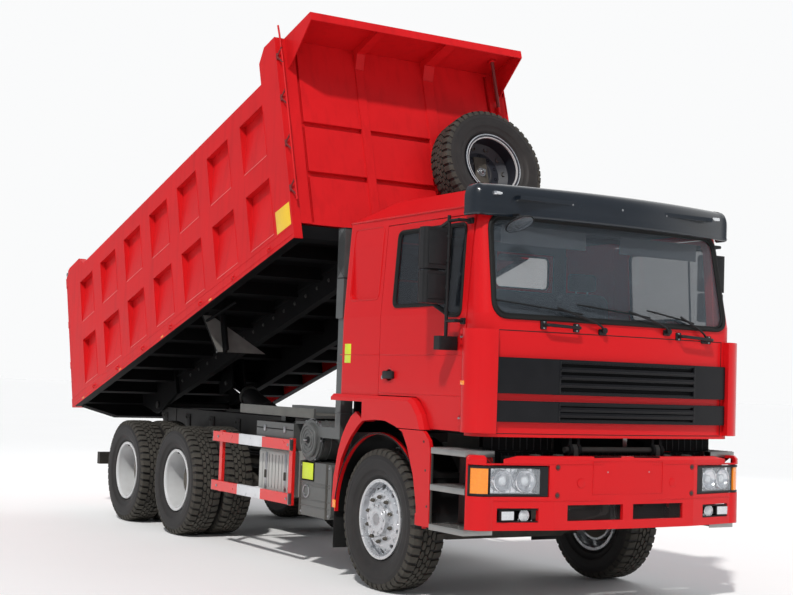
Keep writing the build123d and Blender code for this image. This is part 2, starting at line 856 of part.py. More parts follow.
fender_x = 1238
fender_in = 790
fender_wall = 28
shield_radius = 636
shield_wall = 14
moulding_z = 1231
front_strip = (
    # station, height: panel between the wheel and the steps
    (-824, 557),
    (-815, 1097),
    (-798, 1159),
    (-740, 1210),
    (-715, moulding_z - door_gap),
    (-378, moulding_z - door_gap),
    (-435, 1204),
    (-510, 1100),
    (-600, 900),
    (-650, 700),
    (-660, 557),
)
rear_strip = (
    # station, height: thin lip behind the wheel
    (252, 1259),
    (364, 1324),
    (438, 1282),
    (511, 1202),
    (568, 1122),
    (623, 1002),
    (680, 800),
    (700, 557),
    (640, 557),
    (610, 824),
    (571, 943),
    (499, 1048),
    (427, 1129),
    (311, 1226),
)
rear_strip_x = 1172
with BuildPart() as fenders:
    for side in (-1, 1):
        # mud shield that follows the tyre
        with BuildSketch(Plane.YZ.offset(min(side * fender_in, side * rear_strip_x))) as shield:
            with Locations((aft(0), hub_z)):
                Circle(shield_radius + shield_wall)
                Circle(shield_radius, mode=Mode.SUBTRACT)
            with Locations((aft(0), hub_z - 700)):
                Rectangle(1600, 1400, mode=Mode.SUBTRACT)
        extrude(shield.sketch, amount=rear_strip_x - fender_in)
        for points, outer in ((front_strip, fender_x), (rear_strip, rear_strip_x)):
            profile(
                Plane.YZ.offset(min(side * outer, side * (outer - fender_wall))),
                [(aft(station), z) for station, z in points],
                fender_wall,
            )
        # webs between the shield and the two strips
        block((side * 1100, side * (fender_x - 2)), (aft(-720), aft(-640)), (560, 640))
        block((side * 1100, side * (rear_strip_x - 2)), (aft(640), aft(690)), (560, 640))
        # stays to the rail
        block((side * rail_side, side * 1100), (aft(-565), aft(-525)), (880, 920))
        block((side * rail_side, side * 1100), (aft(610), aft(650)), (700, 740))
save(fenders.part, "fenders")


# ------------------------------------------------------------------------ cab
def cab_plan(half_width, corner, front, z, inset):
    """Plan of the cab at a height: bowed front, straight sides, rounded corners."""
    edge = half_width - inset
    with BuildSketch(Plane.XY.offset(z)) as plan:
        with BuildLine():
            ThreePointArc((-edge, aft(corner + inset)), (0, aft(front + inset)), (edge, aft(corner + inset)))
            Line((edge, aft(corner + inset)), (edge, aft(cab_rear - inset)))
            Line((edge, aft(cab_rear - inset)), (-edge, aft(cab_rear - inset)))
            Line((-edge, aft(cab_rear - inset)), (-edge, aft(corner + inset)))
        make_face()
        fillet(plan.vertices().group_by(Axis.Y)[0], 120 - inset)
        fillet(plan.vertices().group_by(Axis.Y)[-1], 60 - inset)
    return plan.sketch


def cab_body(inset):
    """Solid body of the cab from its floor to its eaves, moved in from the skin by inset."""
    with BuildPart() as body:
        lower = cab_plan(cab_half_width, cab_corner, cab_front, cab_floor_z, inset)
        belt = cab_plan(cab_half_width, cab_corner, cab_front, belt_z, inset)
        eaves = cab_plan(cab_top_half_width, cab_top_corner, cab_top_front, eaves_z, inset)
        extrude(lower, amount=belt_z - cab_floor_z)
        loft([belt.faces()[0], eaves.faces()[0]], ruled=True)
    return body.part


with BuildPart() as cab_skin:
    add(cab_body(0))
    add(cab_body(cab_wall), mode=Mode.SUBTRACT)
with BuildPart() as glass_skin:
    add(cab_body(glass_inset))
    add(cab_body(glass_inset + glass_wall), mode=Mode.SUBTRACT)

pillar_station = door_front - 14
moulding_top = cab_arch_z - door_gap
side_reach = cab_half_width + 60
side_depth = 220


def side_outline(points, mode, corner=0):
    """Cut or keep both cab sides by a closed outline of (station, height) pairs."""
    for side in (-1, 1):
        with BuildSketch(Plane.YZ.offset(min(side * side_reach, side * (side_reach - side_depth)))) as outline:
            with BuildLine():
                Polyline(*[(aft(a), z) for a, z in points], close=True)
            make_face()
            if corner:
                fillet(outline.vertices(), corner)
        extrude(outline.sketch, amount=side_depth, mode=mode)


# station and height of the door's edge, notched over the arch moulding
door_outline = (
    (door_front, 1239),
    (-702, 1239),
    (-651, 1346),
    (-566, 1433),
    (-503, cab_arch_z),
    (door_rear, cab_arch_z),
    (door_rear, 2745),
    (door_front, 2745),
)


def window_outline(shrink):
    """Door window as (station, height) pairs: its sill steps down towards the mirror."""
    return (
        (-1050 + shrink, 2040 + shrink),
        (-900 - shrink, 2040 + shrink),
        (-690 - shrink, 2124 + shrink),
        (-140 - shrink, 2124 + shrink),
        (-140 - shrink, 2690 - shrink),
        (-1030 + shrink, 2690 - shrink),
    )


with BuildPart() as cab_sides:
    add(cab_skin.part)
    block((-1300, 1300), (aft(pillar_station), aft(cab_rear - cab_wall)), (cab_floor_z - 1, eaves_z + 1), Mode.INTERSECT)
    block((-1000, 1000), (aft(-2000), aft(2000)), (0, 4000), Mode.SUBTRACT)
    # wheel arch and door opening
    block((-1300, 1300), (aft(-2000), aft(2000)), (0, moulding_top), Mode.SUBTRACT)
    side_outline(
        (
            (pillar_station - 5, 0),
            (door_rear + door_gap, 0),
            (door_rear + door_gap, 2745 + door_gap),
            (pillar_station - 5, 2745 + door_gap),
        ),
        Mode.SUBTRACT,
    )
    # rear post's recessed panel
    for side in (-1, 1):
        with BuildSketch(Plane.YZ.offset(side * (cab_half_width + 30))) as recess:
            with Locations((aft(310), 2470)):
                RectangleRounded(420, 540, 50)
        extrude(recess.sketch, amount=-side * 66, mode=Mode.SUBTRACT)
save(cab_sides.part, "cab_sides")

moulding_outline = (
    # station, height
    (-694, moulding_z),
    (-643, 1342),
    (-558, 1427),
    (-497, moulding_top),
    (cab_rear, moulding_top),
    (cab_rear, 1405),
    (160, 1405),
    (160, 1256),
    (145, 1262),
    (-47, 1278),
    (-192, 1274),
    (-336, 1240),
    (-360, moulding_z),
)
moulding_inner_x = 1128
with BuildPart() as arch_mouldings:
    profile(Plane.YZ.offset(moulding_inner_x), [(aft(a), z) for a, z in moulding_outline], fender_x - moulding_inner_x)
    # the flare fades into the cab's side
    outer_edges = arch_mouldings.faces().sort_by(Axis.X)[-1].edges()
    front_edges = outer_edges.filter_by(lambda e: e.center().Y < aft(-480) and e.center().Z > moulding_z + 5)
    chamfer(front_edges + outer_edges.filter_by(lambda e: e.center().Z > moulding_top - 5), 26)
    mirror(about=Plane.YZ)
save(arch_mouldings.part, "arch_mouldings")

rear_window_x = 600
rear_window_z = 2545
rear_window_width = 580
rear_window_height = 290
rear_window_corner = 60
with BuildPart() as cab_back:
    add(cab_skin.part)
    block((-1300, 1300), (aft(cab_rear - cab_wall), aft(cab_rear + 10)), (cab_arch_z, eaves_z), Mode.INTERSECT)
    for side in (-1, 1):
        with BuildSketch(Plane.XZ.offset(-aft(cab_rear + 10))) as opening:
            with Locations((side * rear_window_x, rear_window_z)):
                RectangleRounded(rear_window_width, rear_window_height, rear_window_corner)
        extrude(opening.sketch, amount=60, mode=Mode.SUBTRACT)
save(cab_back.part, "cab_back")

windscreen_sill = 2035
windscreen_top = 2745


def windscreen_outline(shrink):
    """Windscreen seen from the front: wider at the top."""
    with BuildSketch(Plane.XZ.offset(-aft(-1000))) as outline:
        with BuildLine():
            Polyline(
                (-1080 + shrink, windscreen_sill + shrink),
                (1080 - shrink, windscreen_sill + shrink),
                (1052 - shrink, windscreen_top - shrink),
                (-1052 + shrink, windscreen_top - shrink),
                close=True,
            )
        make_face()
        fillet(outline.vertices(), 110)
    return outline.sketch


hinge_levels = (1330, 1890)
door_hinge_x = cab_half_width + 12
door_hinge_station = door_front - 7
door_pin_radius = 6
with BuildPart() as cab_front_panel:
    add(cab_skin.part)
    block((-1300, 1300), (aft(-2000), aft(pillar_station)), (cab_floor_z, eaves_z), Mode.INTERSECT)
    extrude(windscreen_outline(0), amount=500, mode=Mode.SUBTRACT)
    # lugs that carry the doors' hinge pins
    for side in (-1, 1):
        for level in hinge_levels:
            with Locations((side * door_hinge_x, aft(door_hinge_station), level)):
                Cylinder(10, 34)
            block(
                (side * (cab_half_width - 12), side * door_hinge_x),
                (aft(pillar_station - 5), aft(door_hinge_station)),
                (level - 17, level + 17),
            )
            with Locations((side * door_hinge_x, aft(door_hinge_station), level)):
                Cylinder(door_pin_radius + running_clearance, 40, mode=Mode.SUBTRACT)
save(cab_front_panel.part, "cab_front_panel")

with BuildPart() as pane_blocks:
    extrude(windscreen_outline(seat_clearance), amount=500)
    for side in (-1, 1):
        with BuildSketch(Plane.XZ.offset(-aft(cab_rear + 10))) as pane:
            with Locations((side * rear_window_x, rear_window_z)):
                RectangleRounded(
                    rear_window_width - 2 * seat_clearance, rear_window_height - 2 * seat_clearance, rear_window_corner
                )
        extrude(pane.sketch, amount=60)
with BuildPart() as cab_glass:
    add(glass_skin.part)
    add(pane_blocks.part, mode=Mode.INTERSECT)
save(cab_glass.part, "cab_glass")

with BuildPart() as door_left:
    add(cab_skin.part)
    with BuildSketch(Plane.YZ.offset(1000)) as edge_outline:
        with BuildLine():
            Polyline(*[(aft(a), z) for a, z in door_outline], close=True)
        make_face()
    extrude(edge_outline.sketch, amount=300, mode=Mode.INTERSECT)
    side_outline(window_outline(0), Mode.SUBTRACT, 55)
    # handle recess plate and hinge ears with their pins
    block((cab_half_width, cab_half_width + 22), (aft(-190), aft(-60)), (1590, 1640))
    for level in hinge_levels:
        for step in (-36, 36):
            with Locations((door_hinge_x, aft(door_hinge_station), level + step)):
                Cylinder(10, 32)
            block(
                (cab_half_width - 2, door_hinge_x),
                (aft(door_hinge_station + 4), aft(door_hinge_station + 60)),
                (level + step - 16, level + step + 16),
            )
        with Locations((door_hinge_x, aft(door_hinge_station), level)):
            Cylinder(door_pin_radius, 90)
save(door_left.part, "door_left")
with BuildPart() as door_right:
    mirror(door_left.part, about=Plane.YZ)
save(door_right.part, "door_right")

with BuildPart() as door_glass_left:
    add(glass_skin.part)
    with BuildSketch(Plane.YZ.offset(1000)) as pane_outline:
        with BuildLine():
            Polyline(*[(aft(a), z) for a, z in window_outline(seat_clearance)], close=True)
        make_face()
        fillet(pane_outline.vertices(), 55)
    extrude(pane_outline.sketch, amount=300, mode=Mode.INTERSECT)
save(door_glass_left.part, "door_glass_left")
with BuildPart() as door_glass_right:
    mirror(door_glass_left.part, about=Plane.YZ)
save(door_glass_right.part, "door_glass_right")

# mirrors: two arms from the door's front frame carry a tall head, a small kerb mirror hangs below
mirror_station = -900
arm_x = cab_half_width + 62
head_inner = cab_half_width + 33
head_x = (head_inner + mirror_reach) / 2
kerb_head_x = head_inner + 55
with BuildPart() as mirror_left:
    block((head_inner, mirror_reach), (aft(mirror_station - 60), aft(mirror_station + 40)), (2360, 2650))
    block((head_inner + 5, mirror_reach - 5), (aft(mirror_station - 55), aft(mirror_station + 40)), (2120, 2345))
    fillet(mirror_left.edges().filter_by(Axis.Z), 30)
    block((head_x - 35, head_x + 35), (aft(mirror_station - 20), aft(mirror_station + 20)), (2340, 2365))
    bar((arm_x, aft(-960), 2740), (arm_x, aft(-960), 1870), 13)
    for level in (2700, 2240):
        bar((arm_x, aft(-960), level), (head_x, aft(mirror_station), level - 80), 12)
    for level, skin in ((2700, 1130.5), (2000, cab_half_width)):
        bar((skin, aft(-1084), level), (arm_x, aft(-1084), level), 12)
        bar((arm_x, aft(-1084), level), (arm_x, aft(-960), level), 12)
    with Locations((kerb_head_x, aft(-1000), 1845)):
        Box(150, 70, 96)
    bar((arm_x, aft(-960), 1880), (kerb_head_x, aft(-1000), 1860), 12)
save(mirror_left.part, "mirror_left")
with BuildPart() as mirror_right:
    mirror(mirror_left.part, about=Plane.YZ)
save(mirror_right.part, "mirror_right")

def roof_body(plan_inset, crown_inset):
    """Solid of the roof from the eaves to the crown."""
    with BuildPart() as body:
        base = cab_plan(cab_top_half_width, cab_top_corner, cab_top_front, eaves_z, plan_inset)
        with BuildSketch(Plane.XY.offset(roof_top_z - crown_inset)) as crown:
            with Locations((0, aft(-470))):
                RectangleRounded(1960 - 2 * crown_inset, 1360 - 2 * crown_inset, 110 - crown_inset)
        loft([base.faces()[0], crown.sketch.faces()[0]], ruled=True)
    return body.part


with BuildPart() as cab_roof:
    add(roof_body(0, 0))
    add(roof_body(cab_wall, cab_wall), mode=Mode.SUBTRACT)
save(cab_roof.part, "cab_roof")

tunnel_half = 360
tunnel_front = -1100
floor_wall = 30
floor_half = cab_half_width - cab_wall - 14
with BuildPart() as cab_floor:
    front_edge = -1235
    block((-floor_half, floor_half), (aft(front_edge), aft(-420)), (cab_floor_z + 5, cab_floor_z + 5 + floor_wall))
    block((-floor_half, floor_half), (aft(-450), aft(cab_rear - cab_wall)), (cab_arch_z + 5, cab_arch_z + 35))
    block((-floor_half, floor_half), (aft(-450), aft(-420)), (cab_floor_z + 5, cab_arch_z + 35))
    block((-tunnel_half, tunnel_half), (aft(tunnel_front), aft(-420)), (cab_floor_z + 5, cab_arch_z + 35))
    block(
        (30 - tunnel_half, tunnel_half - 30),
        (aft(tunnel_front + 30), aft(-410)),
        (cab_floor_z, cab_arch_z + 5),
        Mode.SUBTRACT,
    )
    add(cab_body(cab_wall + seat_clearance), mode=Mode.INTERSECT)
    # tilt pivot ears around the chassis pivot bar
    for side in (-1, 1):
        for x in (418, 345):
            with Locations(Plane(origin=(side * x, aft(cab_pivot_station), cab_pivot_z), z_dir=(1, 0, 0))):
                Cylinder(46, 24)
            block(
                (side * x - 12, side * x + 12),
                (aft(cab_pivot_station - 20), aft(cab_pivot_station + 60)),
                (cab_pivot_z, cab_floor_z - seat_clearance),
            )
            block(
                (side * x - 12, side * x + 12),
                (aft(cab_pivot_station - 20), aft(front_edge + 60)),
                (cab_floor_z - 25, cab_floor_z - seat_clearance),
            )
            block(
                (side * x - 12, side * x + 12),
                (aft(front_edge), aft(front_edge + 60)),
                (cab_floor_z - 25, cab_floor_z + 10),
            )
    bar(
        (-500, aft(cab_pivot_station), cab_pivot_z),
        (500, aft(cab_pivot_station), cab_pivot_z),
        22 + running_clearance,
        Mode.SUBTRACT,
    )
save(cab_floor.part, "cab_floor")

with BuildPart() as seats:
    for x in (-700, 700):
        block((x - 260, x + 260), (aft(-560), aft(-60)), (1580, 1700))
        block((x - 250, x + 250), (aft(-110), aft(10)), (1700, 2330))
        block((x - 190, x + 190), (aft(-440), aft(-110)), (cab_arch_z + 35 + seat_clearance, 1580))
        block((x - 130, x + 130), (aft(-90), aft(0)), (2330, 2500))
    # bunk behind the seats
    block((-1100, 1100), (aft(150), aft(600)), (cab_arch_z + 35 + seat_clearance, 1880))
save(seats.part, "seats")

with BuildPart() as dashboard:
    profile(
        Plane.YZ.offset(-1090),
        (
            (aft(-1235), 1700),
            (aft(-1030), 1700),
            (aft(-960), 1860),
            (aft(-1010), 1990),
            (aft(-1235), 2010),
        ),
        2180,
    )
    block((-1080, 1080), (aft(-1230), aft(-1200)), (cab_floor_z + 35 + seat_clearance, 1700))
    # steering column and wheel
    bar((640, aft(-1000), 1560), (640, aft(-830), 2010), 32)
    with Locations(Plane(origin=(640, aft(-830), 2010), z_dir=(0, 170, 450))):
        Torus(215, 16)
        Box(420, 40, 24)
        Cylinder(50, 40)
    bar((640, aft(-1060), 1750), (640, aft(-920), 1780), 60)
save(dashboard.part, "dashboard")

grille_half = 1066
grille_panels = ((1512, 1759, 4), (1319, 1465, 3))
louvre_half = 930
louvre_margin = 15
louvre_lip = 10
louvre_depth = 14
grille_proud = 26


def front_band(low, height, inner, outer, half):
    """Band of the cab's front between two distances ahead of it, trimmed to a half width."""
    with BuildPart() as band:
        extrude(cab_plan(cab_half_width, cab_corner, cab_front - outer, low, 0), amount=height)
        extrude(cab_plan(cab_half_width, cab_corner, cab_front - inner, low, 0), amount=height, mode=Mode.SUBTRACT)
        block((-half, half), (aft(-2000), aft(-1290)), (0, 4000), Mode.INTERSECT)
    return band.part


with BuildPart() as grille:
    for low, high, ribs in grille_panels:
        add(front_band(low, high - low, seat_clearance, grille_proud, grille_half))
        # grooves between the louvre ribs
        pitch = (high - low - 2 * louvre_margin) / ribs
        for i in range(ribs):
            groove = low + louvre_margin + pitch * i + louvre_lip
            add(
                front_band(groove, pitch - 24, grille_proud - louvre_depth, grille_proud + 30, louvre_half),
                mode=Mode.SUBTRACT,
            )
save(grille.part, "grille")

corner_low = 1240
corner_step = 1808
corner_high = 1946


def corner_plan(inset):
    """Plan of one corner panel's outside, bulging past the cab's corner."""
    with BuildSketch() as plan:
        with BuildLine():
            Polyline((1000, aft(pillar_station - 6)), (1196 - inset, aft(pillar_station - 6)))
            ThreePointArc(
                (1196 - inset, aft(pillar_station - 6)),
                (1248 - inset, aft(-1205)),
                (1196 - inset, aft(-1318 + inset)),
            )
            ThreePointArc(
                (1196 - inset, aft(-1318 + inset)),
                (1146 - inset * 0.6, aft(-1354 + inset)),
                (grille_half + 3, aft(-1366 + inset)),
            )
            Polyline((grille_half + 3, aft(-1366 + inset)), (1000, aft(-1366 + inset)), (1000, aft(pillar_station - 6)))
        make_face()
    return plan.sketch


with BuildPart() as corner_panels:
    extrude(corner_plan(0).moved(Location((0, 0, corner_low))), amount=corner_high - corner_low)
    extrude(corner_plan(10).moved(Location((0, 0, corner_low))), amount=corner_high - corner_low, mode=Mode.SUBTRACT)
    block((grille_half + 3, 1400), (aft(-2000), aft(pillar_station - 6)), (0, 4000), Mode.INTERSECT)
    # inner flange that seats on the cab's front
    block((grille_half + 3, grille_half + 23), (aft(-1362), aft(-1312)), (corner_low, corner_high))
    add(cab_body(-seat_clearance), mode=Mode.SUBTRACT)
    mirror(about=Plane.YZ)
save(corner_panels.part, "corner_panels")

visor_low = 2740
visor_high = 2954


def visor_body(inset):
    """Solid of the visor's outside moved in by inset, its top front edge bevelled."""
    with BuildPart() as body:
        extrude(cab_plan(1186, -1195, -1345, visor_low, inset), amount=visor_high - visor_low - inset)
        top_edges = body.faces().sort_by(Axis.Z)[-1].edges()
        chamfer(top_edges.filter_by(lambda e: e.center().Y < aft(0)), 45 - inset / 2)
    return body.part


with BuildPart() as visor:
    add(visor_body(0))
    add(visor_body(14), mode=Mode.SUBTRACT)
    block((-1300, 1300), (aft(-2000), aft(-1085)), (0, 4000), Mode.INTERSECT)
    # seat of the visor on the roof's front edge
    block((-900, 900), (aft(-1338), aft(-1170)), (2850, 2880))
    add(cab_body(-seat_clearance), mode=Mode.SUBTRACT)
    add(roof_body(-seat_clearance, 0), mode=Mode.SUBTRACT)
save(visor.part, "visor")


# ------------------------------------------------------------------------ bed
# The whole bed is built on its own tipped plane: s forward from the rear edge
# along the floor, h square to the floor from the sides' lower edge.
bed_inner = bed_half_width - bed_wall
first_pocket = 1087
pocket_count = 6
pocket_rib = 270
pocket_pitch = (front_post_s - 16 + pocket_rib - first_pocket) / pocket_count
pocket_width = pocket_pitch - pocket_rib
rear_pocket = (401, 818)
pocket_rows = ((1392, 905), (690, 165))
pocket_depth = 62
pocket_throat = 95
gate_hinge_s = -45
gate_hinge_h = gate_top_h + 40
gate_pin_radius = 14
gate_lug_radius = 24
gate_lug_x = 1180
gate_lug_thick = 24

pockets = [rear_pocket]
for i in range(pocket_count):
    pockets.append((first_pocket + pocket_pitch * i, first_pocket + pocket_pitch * i + pocket_width))

side_outline_points = (
    # s, h
    (0, 0),
    (bed_front_s, 0),
    (bed_front_s, front_post_h),
    (front_post_s + 120, front_post_h),
    (front_post_s, front_post_h - 105),
    (front_post_s, bed_rail_h),
    (533, bed_rail_h),
    (rear_post_s, post_h),
    (60, post_h),
    (0, post_h - 15),
)
with BuildPart(bed_plane) as bed_sides:
    profile(bed_beside(bed_inner), [(-s, h) for s, h in side_outline_points], bed_wall)
    # each pocket is deep under its upper edge and runs out to the rib face below
    for start, end in pockets:
        for top, low in pocket_rows:
            profile(
                bed_across(start),
                (
                    (bed_half_width + 1, top),
                    (bed_half_width + 1, low),
                    (bed_half_width - 0.5, low),
                    (bed_half_width - pocket_depth, top - pocket_throat),
                    (bed_half_width - pocket_depth, top),
                ),
                end - start,
                Mode.SUBTRACT,
            )
    # tailgate hinge lug on the rear post
    profile(
        bed_beside(gate_lug_x),
        (
            (-20, gate_hinge_h - gate_lug_radius),
            (-20, gate_hinge_h + gate_lug_radius),
            (-gate_hinge_s, gate_hinge_h + gate_lug_radius),
            (-gate_hinge_s, gate_hinge_h - gate_lug_radius),
        ),
        gate_lug_thick,
    )
    with Locations((gate_lug_x + gate_lug_thick / 2, -gate_hinge_s, gate_hinge_h)):
        Cylinder(gate_lug_radius, gate_lug_thick, rotation=(0, 90, 0))
        Cylinder(
            gate_pin_radius + running_clearance,
            gate_lug_thick + 10,
            rotation=(0, 90, 0),
            mode=Mode.SUBTRACT,
        )
    mirror(about=Plane.YZ)
save(bed_sides.part, "bed_sides")

cross_count = 11
cross_pitch = (bed_length - 590) / (cross_count - 1)
floor_edge = bed_inner - seat_clearance
ear_inner = 456
ear_outer = 486
guard_s = 3499
cheek_gap = 62
cheek_wall = 22
with BuildPart(bed_plane) as bed_floor:
    bed_block((-floor_edge, floor_edge), (0, bed_length), (bed_floor_h, bed_floor_h + bed_floor_wall))
    for i in range(cross_count):
        start = 120 + cross_pitch * i
        bed_block((-floor_edge, floor_edge), (start, start + 80), (0, bed_floor_h))
    bed_block((-floor_edge, floor_edge), (bed_length - 30, bed_front_s), (0, bed_floor_h))
    for side in (-1, 1):
        near = side * bed_beam_x
        far = side * (bed_beam_x + bed_beam_width)
        bed_block((near, far), (rear_overhang + 92, bed_length), (-bed_beam_drop, bed_floor_h))
        # hinge ear outside the beam
        profile(
            bed_beside(min(side * ear_inner, side * ear_outer)),
            (
                (-250, bed_floor_h),
                (-1250, bed_floor_h),
                (-1250, -bed_beam_drop),
                (-rear_overhang - 120, -hinge_drop - 80),
                (-rear_overhang + 80, -hinge_drop - 80),
                (-420, -120),
                (-250, -40),
            ),
            ear_outer - ear_inner,
        )
        bed_block(
            (far - side * 2, side * (ear_inner + 2)),
            (rear_overhang + 150, 1250),
            (-bed_beam_drop, bed_floor_h),
        )
        # guard plate ahead of the drive tyres, with its strut
        profile(
            bed_across(guard_s),
            (
                (side * 1145, 2),
                (side * 1020, -372),
                (side * 500, -372),
                (side * 1050, 2),
            ),
            16,
        )
        bed_block((side * 930, side * 960), (guard_s - 20, guard_s + 60), (-372, 2))
        bed_block((side * 930, side * 1100), (guard_s, guard_s + 130), (0, 20))
    # tapered rear cross-beam
    profile(
        bed_across(10),
        (
            (-floor_edge, bed_floor_h),
            (floor_edge, bed_floor_h),
            (floor_edge, -10),
            (760, -130),
            (-760, -130),
            (-floor_edge, -10),
        ),
        90,
    )
    # cheeks that straddle the hoist rod's eye, on a tie between the beams
    for side in (-1, 1):
        bed_block(
            (side * cheek_gap, side * (cheek_gap + cheek_wall)),
            (hoist_pin_s - 190, hoist_pin_s + 150),
            (-240, bed_floor_h),
        )
    bed_block(
        (-bed_beam_x - 1, bed_beam_x + 1), (hoist_pin_s - 190, hoist_pin_s - 120), (-100, bed_floor_h)
    )
    with Locations((0, -rear_overhang, -hinge_drop)):
        Cylinder(hinge_radius + running_clearance, 1100, rotation=(0, 90, 0), mode=Mode.SUBTRACT)
save(bed_floor.part, "bed_floor")

board_low = 140
board_top = front_post_h - seat_clearance
board_ribs = ((-430, -345), (300, 412))
board_slots = ((590, 640), (1065, 1110))
board_spans = ((-1015, -430), (-345, 300), (412, 1015))
slot_depth = 30
panel_front = bed_front_s - board_set
with BuildPart(bed_plane) as headboard:
    bed_block((-floor_edge, floor_edge), (bed_length + seat_clearance, panel_front), (board_low, board_top))
    for left, right in board_ribs:
        bed_block((left, right), (panel_front - 1, bed_front_s), (board_low, board_top))
    for side in (-1, 1):
        bed_block((side * 1045, side * floor_edge), (panel_front - 1, bed_front_s), (board_low, board_top))
        bed_block(
            (side * 1015, side * 1045), (panel_front - 25, bed_front_s + 1), (board_low + 20, front_post_h - 35), Mode.SUBTRACT
        )
    # shadow lines under the pressed panels
    for left, right in board_spans:
        for low, high in board_slots:
            bed_block((left, right), (panel_front - slot_depth, bed_front_s + 1), (low, high), Mode.SUBTRACT)
save(headboard.part, "headboard")

canopy_half = 1125
canopy_wall = 10
lip_drop = 72
with BuildPart(bed_plane) as canopy:
    bed_block(
        (-canopy_half, canopy_half),
        (bed_length, canopy_tip_s),
        (front_post_h, front_post_h + canopy_wall),
    )
    bed_block(
        (-canopy_half, canopy_half),
        (canopy_tip_s - canopy_wall, canopy_tip_s),
        (front_post_h + canopy_wall - lip_drop, front_post_h + 1),
    )
    for x in (-canopy_half, canopy_half - canopy_wall):
        profile(
            bed_beside(x),
            (
                (-bed_front_s - seat_clearance, front_post_h + 1),
                (-canopy_tip_s + 1, front_post_h + 1),
                (-canopy_tip_s + 1, front_post_h + canopy_wall - lip_drop),
                (-bed_front_s - 70, front_post_h - 275),
                (-bed_front_s - seat_clearance, front_post_h - 295),
            ),
            canopy_wall,
        )
    for left, right in board_ribs:
        profile(
            bed_beside(left),
            (
                (-bed_front_s - seat_clearance, front_post_h + 1),
                (-canopy_tip_s + 2, front_post_h + 1),
                (-canopy_tip_s + 2, front_post_h - 42),
                (-bed_front_s - 60, front_post_h - 60),
                (-bed_front_s - seat_clearance, front_post_h - 190),
            ),
            right - left,
        )
save(canopy.part, "canopy")

gate_half = bed_half_width - 4
gate_skin = 28
gate_rails = ((10, 110), (480, 560), (980, 1060), (gate_top_h - 120, gate_top_h))
gate_posts = (-1168, -600, 0, 600, 1168)
gate_arms = ((1146, 1174), (1210, gate_half))
with BuildPart(bed_plane) as tailgate:
    bed_block((-gate_half, gate_half), (-swing_gap, -swing_gap - gate_skin), (10, gate_top_h))
    for low, high in gate_rails:
        bed_block((-gate_half, gate_half), (-swing_gap - gate_skin + 1, -gate_depth), (low, high))
    for x in gate_posts:
        bed_block((x - 55, x + 55), (-swing_gap - gate_skin + 1, -gate_depth), (10, gate_top_h))
    # arms and pins in the rear posts' lugs
    for side in (-1, 1):
        for near, far in gate_arms:
            bed_block(
                (side * near, side * far),
                (gate_hinge_s - gate_lug_radius, gate_hinge_s + gate_lug_radius),
                (gate_top_h - 20, gate_hinge_h),
            )
            with Locations((side * (near + far) / 2, -gate_hinge_s, gate_hinge_h)):
                Cylinder(gate_lug_radius, far - near, rotation=(0, 90, 0))
        with Locations((side * (gate_arms[0][0] + gate_half) / 2, -gate_hinge_s, gate_hinge_h)):
            Cylinder(gate_pin_radius, gate_half - gate_arms[0][0], rotation=(0, 90, 0))
save(tailgate.part, "tailgate")

# ---------------------------------------------------------------------- hoist
hoist_base = Vector(0, aft(hoist_base_station), hoist_base_z)
hoist_pin = bed_point(0, hoist_pin_s, hoist_pin_h)
hoist_run = hoist_pin - hoist_base
hoist_way = hoist_run.normalized()
barrel_length = 1820
eye_radius = 50


def along_hoist(distance):
    """Point on the hoist's line, a distance from its base pin."""
    return hoist_base + hoist_way * distance


with BuildPart() as hoist_barrel:
    bar(tuple(along_hoist(90)), tuple(along_hoist(barrel_length)), barrel_radius)
    bar(tuple(along_hoist(barrel_length)), tuple(along_hoist(barrel_length + 40)), 78)
    bar((-75, hoist_base.Y, hoist_base.Z), (75, hoist_base.Y, hoist_base.Z), 62)
    bar(tuple(along_hoist(20)), tuple(along_hoist(95)), 60)
    bar((-90, hoist_base.Y, hoist_base.Z), (90, hoist_base.Y, hoist_base.Z), 35 + running_clearance, Mode.SUBTRACT)
    bar(
        tuple(along_hoist(150)),
        tuple(along_hoist(barrel_length + 50)),
        rod_radius + running_clearance,
        Mode.SUBTRACT,
    )
save(hoist_barrel.part, "hoist_barrel")

with BuildPart() as hoist_rod:
    bar(tuple(along_hoist(420)), tuple(along_hoist(hoist_run.length)), rod_radius)
    bar((-52, hoist_pin.Y, hoist_pin.Z), (52, hoist_pin.Y, hoist_pin.Z), eye_radius)
    bar((-60, hoist_pin.Y, hoist_pin.Z), (60, hoist_pin.Y, hoist_pin.Z), 20, Mode.SUBTRACT)
save(hoist_rod.part, "hoist_rod")
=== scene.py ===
import math
import bmesh
import bpy
from mathutils import Matrix, Vector


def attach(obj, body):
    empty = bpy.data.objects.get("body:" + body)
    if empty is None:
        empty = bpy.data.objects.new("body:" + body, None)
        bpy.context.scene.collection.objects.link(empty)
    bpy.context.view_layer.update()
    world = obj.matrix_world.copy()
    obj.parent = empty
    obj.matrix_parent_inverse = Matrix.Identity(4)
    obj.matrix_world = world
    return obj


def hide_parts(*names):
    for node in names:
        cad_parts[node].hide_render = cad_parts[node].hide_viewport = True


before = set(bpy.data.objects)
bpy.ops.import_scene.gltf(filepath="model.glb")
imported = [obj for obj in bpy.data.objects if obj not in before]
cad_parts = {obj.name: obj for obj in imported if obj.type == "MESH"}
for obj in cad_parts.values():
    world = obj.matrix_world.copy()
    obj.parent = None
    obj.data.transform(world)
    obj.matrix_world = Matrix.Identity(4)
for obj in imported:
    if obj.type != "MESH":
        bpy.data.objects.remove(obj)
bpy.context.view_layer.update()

# Every number below is in millimetres, as in the part's source, until it
# passes through one of the helpers. Stations count from the front axle back.
FRONT_AXLE_Y = -2933.884
BED_TIP = math.radians(16.44)
HINGE_STATION, HINGE_Z = 6102, 1204
HINGE_S, HINGE_DROP = 700, 150
BED_HALF = 1232
HUB_Z = 530
MM = 0.001
